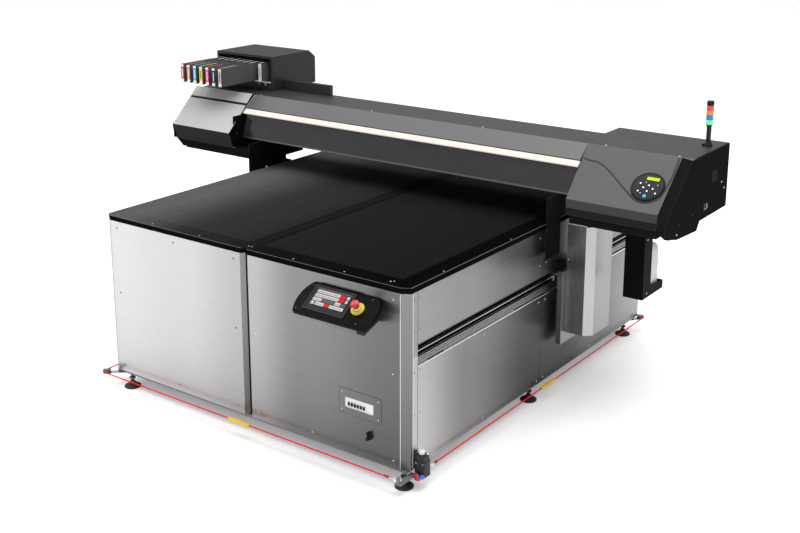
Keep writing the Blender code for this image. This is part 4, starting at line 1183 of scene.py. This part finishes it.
def right_cover_details():
    groove = [(1.104, -0.092), (1.14, -0.099), (1.175, -0.1005), (1.213, -0.112), (1.256, -0.138),
        (1.313, -0.181), (1.369, -0.224), (1.418, -0.259)]
    for step in range(9):
        angle = math.radians(225 + 105 * step / 8)
        groove.append((1.487 + 0.091 * math.cos(angle), -0.197 + 0.091 * math.sin(angle)))
    groove += [(1.58, -0.145), (1.582, -0.08), (1.579, -0.006)]
    path = smooth_path(groove, 5)
    piece("right_cover_groove", ribbon(RIGHT_FACE, path, 0.005, -0.0005, 0.0007, 0.0105), GROOVE, "gantry")
    # A dark strip laid on the lower part of the band: painted shade.
    band = Plane((0, -0.05, 1.117), (1, 0, 0), (0, 0.012, 0.076))
    shade = slab(band, ((1.1165, -0.0762), (1.5885, -0.0762), (1.5885, -0.042), (1.113, -0.042)), -0.0008,
        0.0006)
    piece("right_cover_band_shade", shade, COVER_DARK, "gantry")
    # A black box hung under the right cover where there is only shade: painted shade.
    shade_skirt = box((1.125, -0.042, 0.994), (1.585, 0.088, 1.0385))
    piece("right_cover_shade_skirt", shade_skirt, END_BLACK, "gantry", 0.002)
    lip = [(u, v + 0.0045) for u, v in path[:len(path) * 5 // 12]]
    piece("right_cover_groove_lip", ribbon(RIGHT_FACE, lip, 0.003, -0.0005, 0.0014), COVER_BAND, "gantry")
    round_panel(1.487, -0.197)
    end_side()


def round_panel(u, v):
    centre = RIGHT_FACE.spot(u, v)
    ring = lathe(centre, RIGHT_FACE.normal, ((0.0835, -0.001), (0.0835, 0.003), (0.0805, 0.0075),
        (0.076, 0.0085), (0.0725, 0.006)), 64)
    dial = lathe(centre, RIGHT_FACE.normal, ((0.0735, 0.0055), (0.0735, 0.0066), (0.072, 0.0071)), 64)
    piece("control_panel_ring", ring, COVER_DARK, "gantry", replaces=("control_panel",),
        slot="black_plastic")
    piece("control_panel_dial", dial, DIAL, "gantry")
    face = Plane(RIGHT_FACE.spot(u, v, 0.0069), RIGHT_FACE.across, RIGHT_FACE.along)
    display = slab(face, rounded(-0.018, 0.046, 0.036, 0.054, 0.002, 3), 0, 0.0009)
    piece("control_display", display, LCD, "gantry")
    frame_line = even_frame(face, -0.022, 0.05, 0.032, 0.058, 0.0035, 0.004, 0.002, 0, 0.0015)
    piece("control_display_frame", frame_line, BLACK_PLASTIC, "gantry")
    keys = [(-0.04, 0.012), (0.005, 0.006), (-0.018, -0.01), (0.03, -0.01), (0.006, -0.028),
        (-0.038, -0.033), (0.05, -0.034), (0.047, 0.014), (-0.022, -0.044), (-0.015, 0.022)]
    big, small = keys[:7], keys[7:]
    caps = [lathe(face.spot(a, b), face.normal, ((0.0042, 0.0), (0.0042, 0.0011), (0.0032, 0.0016)), 20)
        for a, b in big]
    caps += [lathe(face.spot(a, b), face.normal, ((0.0022, 0.0), (0.0022, 0.0009), (0.0016, 0.0012)), 16)
        for a, b in small]
    piece("control_keys", joined(caps), KEY_WHITE, "gantry")
    rims = [framing(face, circle(a, b, 0.0075), circle(a, b, 0.0062), 0, 0.0007) for a, b in big]
    piece("control_key_rims", joined(rims), SATIN_BLACK, "gantry")
    lit = lathe(face.spot(0.004, -0.057), face.normal, ((0.0085, 0.0), (0.0085, 0.0012), (0.0065, 0.0019)),
        28)
    piece("control_start_key", lit, KEY_BLUE, "gantry")


def circle(u, v, radius):
    steps = 24
    return [(u + radius * math.cos(2 * math.pi * step / steps),
        v + radius * math.sin(2 * math.pi * step / steps)) for step in range(steps)]


def end_side():
    """Latches, screws and the lamp's connector on the right end."""
    screw_heads("end_screws", END, [(0.346, 1.06), (0.212, 1.065), (0.05, 1.055), (0.63, 1.032)], 0.0052,
        BLACK_PLASTIC, "gantry")
    screw_heads("end_bright_screws", END, [(0.569, 1.156), (0.607, 1.118), (0.03, 1.012)], 0.0048, BRIGHT,
        "gantry")
    hatch = slab(END, rounded(0.43, 0.502, 1.18, 1.238, 0.004), 0, 0.0012)
    piece("end_hatch", hatch, BOX_BLACK, "gantry", 0.0005)
    latch = joined([slab(END, rounded(0.348, 0.385, 1.058, 1.09, 0.003), 0, 0.004),
        slab(END, rounded(0.36, 0.378, 1.064, 1.086, 0.003), 0.004, 0.009)])
    piece("end_latch", latch, DARK_STEEL, "gantry", 0.0008)


def left_cover_details():
    u_low, u_high = -1.668, -1.196
    depth = 0.088
    points = [(u_low, -depth), (u_low + 0.005, -depth), (-1.4, -depth), (u_high + 0.004, -depth)]
    piece("left_cover_groove", ribbon(LEFT_FACE, points, 0.015, -0.0005, 0.0006), COVER_DARK, "gantry")
    shade = ribbon(LEFT_FACE, [(u_low, -depth + 0.008), (u_high + 0.004, -depth + 0.008)], 0.0025, -0.0005,
        0.0009)
    piece("left_cover_groove_edge", shade, GROOVE, "gantry")
    closing = [box((-1.604, 0.14, 1.0505), (-1.006, 0.149, 1.109)),
        box((-1.18, -0.015, 1.0525), (-1.1765, 0.138, 1.11)),
        box((-1.18, 0.0, 1.11), (-1.1765, 0.098, 1.24))]
    piece("left_closing_plates", joined(closing), BOX_BLACK, "gantry", 0.0008, slot="cover_dark")
    screw_heads("left_inner_screws", facing_right(-1.1765), [(0.03, 1.13), (0.08, 1.13)], 0.005, DARK_STEEL,
        "gantry")


def top_cover_details():
    spots = [(1.177, 0.228), (1.568, 0.224), (-1.15, 0.228), (-0.3, 0.228), (0.45, 0.228)]
    screw_heads("top_bright_screws", TOP, spots, 0.006, BRIGHT, "gantry", 0.25)
    spots = [(1.177, 0.472), (1.204, 0.472), (1.36, 0.6), (-1.0, 0.44), (0.0, 0.44), (0.8, 0.44)]
    screw_heads("top_dark_screws", TOP, spots, 0.005, BLACK_PLASTIC, "gantry", 0.25)
    seams = [ribbon(TOP, [(x, 0.216), (x, 0.474)], 0.003, -0.0004, 0.0003) for x in (-1.06, 1.055)]
    piece("top_cover_seams", joined(seams), GROOVE, "gantry")
    back = facing_rear(span("gantry_top_cover")[1].y)
    middle_back = facing_rear(0.476)
    louvres = []
    for centre in (-1.36, 1.36):
        for row in range(7):
            z = 1.1 + 0.022 * row
            louvres.append(slab(back, rounded(centre - 0.12, centre + 0.12, z, z + 0.01, 0.004, 3), -0.0004,
                0.003))
    piece("rear_louvres", joined(louvres), BLACK_PLASTIC, "gantry", 0.0015)
    spots = [(u, z) for u in (-1.58, -1.1, 1.1, 1.58) for z in (1.045, 1.31)]
    screw_heads("gantry_rear_screws", back, spots, 0.005, BRIGHT, "gantry")
    spots = [(u, z) for u in (-0.9, -0.45, 0.0, 0.45, 0.9) for z in (1.135, 1.31)]
    screw_heads("gantry_middle_screws", middle_back, spots, 0.005, BRIGHT, "gantry")
    rear_seams = [ribbon(middle_back, [(u, 1.11), (u, 1.338)], 0.003, -0.0004, 0.0003) for u in (-0.3, 0.3)]
    piece("gantry_rear_seams", joined(rear_seams), GROOVE, "gantry")


# ---------------------------------------------------------------- ink, lamp, waste
def ink_station():
    refined("ink_rack", [RACK_SIDE, BLACK_TOP], 0.002, 2, lambda place, normal: normal.z > 0.5)
    low = span("ink_rack")[0]
    rack_front = facing_front(low.y)
    for number in range(1, 9):
        node = f"ink_cartridge_{number}"
        c_low, c_high = span(node)
        # side faces take the lighter lit copy of the cartridge plastic: painted light
        refined(node, [BLACK_PLASTIC, CARTRIDGE_SIDE], 0.0016, 2, lambda place, normal: abs(normal.x) > 0.8)
        cartridge_details(node, number, c_low, c_high)
        middle = (c_low.x + c_high.x) / 2
        key = slab(rack_front, rounded(middle - 0.004, middle + 0.004, 1.374, 1.388, 0.001, 2), 0, 0.004)
        piece(f"slot_key_{number}", key, INKS[number - 1], "gantry", 0.0006, slot=SLOT_OF[node])
    lip = slab(rack_front, rounded(low.x + 0.01, low.x + 0.463, 1.392, 1.399, 0.002, 3), 0, 0.006)
    piece("rack_lip", lip, STEEL_PLAIN, "gantry", 0.001)
    side = facing_right(low.x + 0.473)
    screw_heads("rack_screws", side, [(0.375, 1.365), (0.375, 1.53), (0.74, 1.365)], 0.004, BLACK_PLASTIC,
        "gantry")


def cartridge_details(node, number, low, high):
    middle = (low.x + high.x) / 2
    half = (high.x - low.x) / 2 - 0.0018
    face = facing_front(low.y)
    colour = INKS[number - 1]
    z_low, z_high = low.z + 0.002, high.z - 0.002
    band = 0.0125
    ends = joined([slab(face, rounded(middle - half, middle + half, z_low, z_low + band * 1.5, 0.002, 3), 0,
        0.0007), slab(face, rounded(middle - half, middle + half, z_high - band, z_high, 0.002, 3), 0,
        0.0007)])
    piece(node + "_bands", ends, PALE, node, 0.0002, slot="ink_white")
    label = slab(face, rounded(middle - half, middle + half, z_low + band * 1.5 + 0.0004,
        z_high - band - 0.0004, 0.001, 2), 0, 0.0006)
    piece(node + "_label", label, colour, node, 0.0002, slot=SLOT_OF[node])
    print_colour = PALE if number in (1, 2, 3, 5, 6) else SATIN_BLACK
    strip = slab(face, rounded(middle - 0.0028, middle + 0.0028, z_low + 0.03, z_high - 0.024, 0.002, 3),
        0.0005, 0.0009)
    # Cartridge 8's stripe takes the glowing display grey: a faint painted glow on a part that is no lamp.
    piece(node + "_stripe", strip, print_colour if number != 8 else UI_GREY, node, slot=SLOT_OF[node])
    top = facing_up(high.z)
    left = low.x + 0.0035
    for name, start, end, finish in (("_rib_front", 0.012, 0.15, colour),
            ("_rib_middle", 0.152, 0.27, SATIN_BLACK), ("_rib_rear", 0.272, 0.63, PALE)):
        if low.y + end < high.y:
            rib = slab(top, rounded(left - 0.0022, left + 0.0022, low.y + start, low.y + end, 0.002, 3),
                -0.0005, 0.0012)
            piece(node + name, rib, finish, node, 0.0004, slot=SLOT_OF[node])


def signal_tower():
    low, high = span("signal_tower")
    centre = midpoint(low, high)
    flange = ((0.022, 0), (0.022, 0.006), (0.019, 0.012), (0.014, 0.019), (0.0125, 0.024))
    bolt = ((0.008, 0), (0.008, 0.009), (0.006, 0.011))
    nut = ((0.007, 0), (0.007, 0.008), (0.005, 0.01))
    parts = []
    for x, y, profile, sides in ((0, 0, flange, 40), (-0.02, -0.01, bolt, 6), (0.014, -0.016, nut, 6)):
        parts.append(lathe((centre[0] + x, centre[1] + y, low.z), UP, profile, sides))
    foot = joined(parts)
    piece("signal_tower_base", foot, BLACK_PLASTIC, "gantry", replaces=("signal_tower",))
    pole = lathe(centre, UP, ((0.012, low.z + 0.02), (0.012, 1.443), (0.0165, 1.448), (0.0165, 1.452)), 36)
    piece("signal_tower_pole", pole, SATIN_BLACK, "gantry", angle=30)
    tall = 0.0242
    for number, (name, finish, slot) in enumerate((("green", LENS_GREEN, "ink_cyan"),
            ("blue", LENS_BLUE, "ink_cyan"), ("amber", LENS_AMBER, "ink_orange"),
            ("red", LENS_RED, "ink_red"))):
        z = 1.452 + tall * number
        profile = [(0.0166, z)]
        ribs = 4
        for rib in range(ribs):
            start = z + 0.0012 + (tall - 0.003) * rib / ribs
            profile += [(0.0176, start), (0.0176, start + 0.003), (0.0171, start + 0.0042)]
        profile += [(0.0176, z + tall - 0.0012), (0.016, z + tall)]
        piece(f"signal_lens_{name}", lathe(centre, UP, profile, 40), finish, "gantry", angle=60, slot=slot)
    cap = lathe(centre, UP, ((0.0165, 1.5488), (0.0178, 1.55), (0.0178, high.z - 0.005),
        (0.0155, high.z - 0.0012), (0.01, high.z - 0.0002)), 40)
    piece("signal_tower_cap", cap, BLACK_PLASTIC, "gantry", angle=50)


def waste():
    low, high = span("waste_holder")
    thick, lip, open_y, shoulder = 0.003, 0.632, 0.273, 1.06
    walls = [box((low.x, low.y, low.z), (high.x, low.y + thick, high.z - 0.0005)),
        box((low.x, low.y, low.z), (high.x, high.y, low.z + thick)), box((low.x, high.y - thick, low.z),
        (high.x, high.y, lip))]
    for x in (low.x, high.x - thick):
        outline = ((low.y, low.z), (high.y, low.z), (high.y, lip), (open_y, lip + 0.01),
            (open_y, shoulder - 0.03), (open_y + 0.02, shoulder), (open_y + 0.02, high.z - 0.0005),
            (low.y, high.z - 0.0005))
        walls.append(slab(UPRIGHT, outline, x, x + thick))
    skin("waste_holder", joined(walls), BOX_BLACK, 0.0008, slot="box_paint")
    screw_heads("waste_screws", facing_right(high.x), [(0.211, 0.9), (0.228, 0.614)], 0.0045, BRIGHT,
        "gantry")
    b_low, b_high = span("waste_bottle")
    middle = midpoint(b_low, b_high)
    half_x, half_y = (b_high.x - b_low.x) / 2, (b_high.y - b_low.y) / 2
    rings = []
    for z, scale, shift in ((b_low.z, 0.93, 0), (b_low.z + 0.006, 1.0, 0), (0.8, 1.0, 0),
            (0.822, 0.97, -0.002), (0.842, 0.84, -0.012), (0.858, 0.6, -0.032), (0.866, 0.32, -0.052)):
        ring = rounded(-half_x * scale, half_x * scale, -half_y * max(scale, 0.2), half_y * max(scale, 0.2),
            0.014 * scale, 5)
        rings.append([(middle.x + u, middle.y + v + shift, z) for u, v in ring])
    skin("waste_bottle", loft(rings), BOTTLE, angle=45)
    ribs = [(0.016 if step % 2 else 0.015, 2 * math.pi * step / 24) for step in range(24)]
    cap_rings = [[(middle.x + r * math.cos(a), middle.y - 0.052 + r * math.sin(a), z) for r, a in ribs]
        for z in (0.864, 0.895)]
    piece("waste_bottle_cap", loft(cap_rings), SATIN_BLACK, "gantry", 0.0006)


# ---------------------------------------------------------------- studio
CAMERA_PLACE = (3.709, -4.982, 2.666)
CAMERA_YAW = 36.16
CAMERA_PITCH = 14.11
LENS = 52.7
SHIFT_UP = -0.125
FLOOR_SIZE = 300


def sky():
    """Soft dome: bright overhead and on the left, dim low down and on the right."""
    world = bpy.data.worlds.new("studio")
    world.use_nodes = True
    tree = world.node_tree
    direction = tree.nodes.new("ShaderNodeTexCoord")
    split = tree.nodes.new("ShaderNodeSeparateXYZ")
    tree.links.new(direction.outputs["Generated"], split.inputs[0])
    levels = []
    for axis, from_low, from_high, to_low, to_high in (("X", -0.3, 0.8, 1.0, 0.55),
            ("Z", 0.0, 0.8, 0.6, 1.1)):
        level = tree.nodes.new("ShaderNodeMapRange")
        tree.links.new(split.outputs[axis], level.inputs["Value"])
        level.inputs["From Min"].default_value = from_low
        level.inputs["From Max"].default_value = from_high
        level.inputs["To Min"].default_value = to_low
        level.inputs["To Max"].default_value = to_high
        levels.append(level.outputs[0])
    product = tree.nodes.new("ShaderNodeMath")
    product.operation = "MULTIPLY"
    for socket, level in zip(product.inputs, levels):
        tree.links.new(level, socket)
    tree.links.new(product.outputs[0], tree.nodes["Background"].inputs["Strength"])
    tree.nodes["Background"].inputs["Color"].default_value = (1.0, 1.0, 1.0, 1)
    return world


def studio():
    scene = bpy.context.scene
    bpy.ops.mesh.primitive_grid_add(x_subdivisions=8, y_subdivisions=8, size=FLOOR_SIZE)
    floor = bpy.context.object
    floor.name = "studio_floor"
    ground = Finish("studio_floor", (0.93, 0.93, 0.93), 0.0, 0.85, Emission_Strength=0.22,
        Emission_Color=(1.0, 1.0, 1.0, 1.0), Specular_IOR_Level=0.1)
    ground.to("Base Color", ground.blend(ground.levels(ground.noise(0.6), 0, 1), (0.92, 0.92, 0.92),
        (0.94, 0.94, 0.94)))
    floor.data.materials.append(ground.material)
    scene.world = sky()
    for name, place, target, size, power in (("key", (-5.0, -2.0, 6.0), (-1.0, 0, 0.8), 3.0, 90.0),
            ("top", (1.2, 0.2, 6.5), (1.2, 0, 0.5), 7.0, 420.0)):
        data = bpy.data.lights.new(name, "AREA")
        data.energy = power
        data.size = size
        lamp = bpy.data.objects.new(name, data)
        lamp.location = Vector(place) + CENTRE
        lamp.rotation_euler = (Vector(target) - Vector(place)).to_track_quat("-Z", "Y").to_euler()
        scene.collection.objects.link(lamp)
    scene.view_settings.view_transform = "Standard"


def camera():
    data = bpy.data.cameras.new("camera")
    data.lens = LENS
    data.shift_y = SHIFT_UP
    made = bpy.data.objects.new("camera", data)
    made.location = Vector(CAMERA_PLACE) + CENTRE
    made.rotation_euler = (math.radians(90 - CAMERA_PITCH), 0, math.radians(CAMERA_YAW))
    bpy.context.scene.collection.objects.link(made)
    bpy.context.scene.camera = made


cabinets()
table()
feet()
operator_panel()
service_window()
main_switch()
safety_rope()
rails_and_trolley()
gantry()
ink_station()
signal_tower()
waste()
studio()
camera()
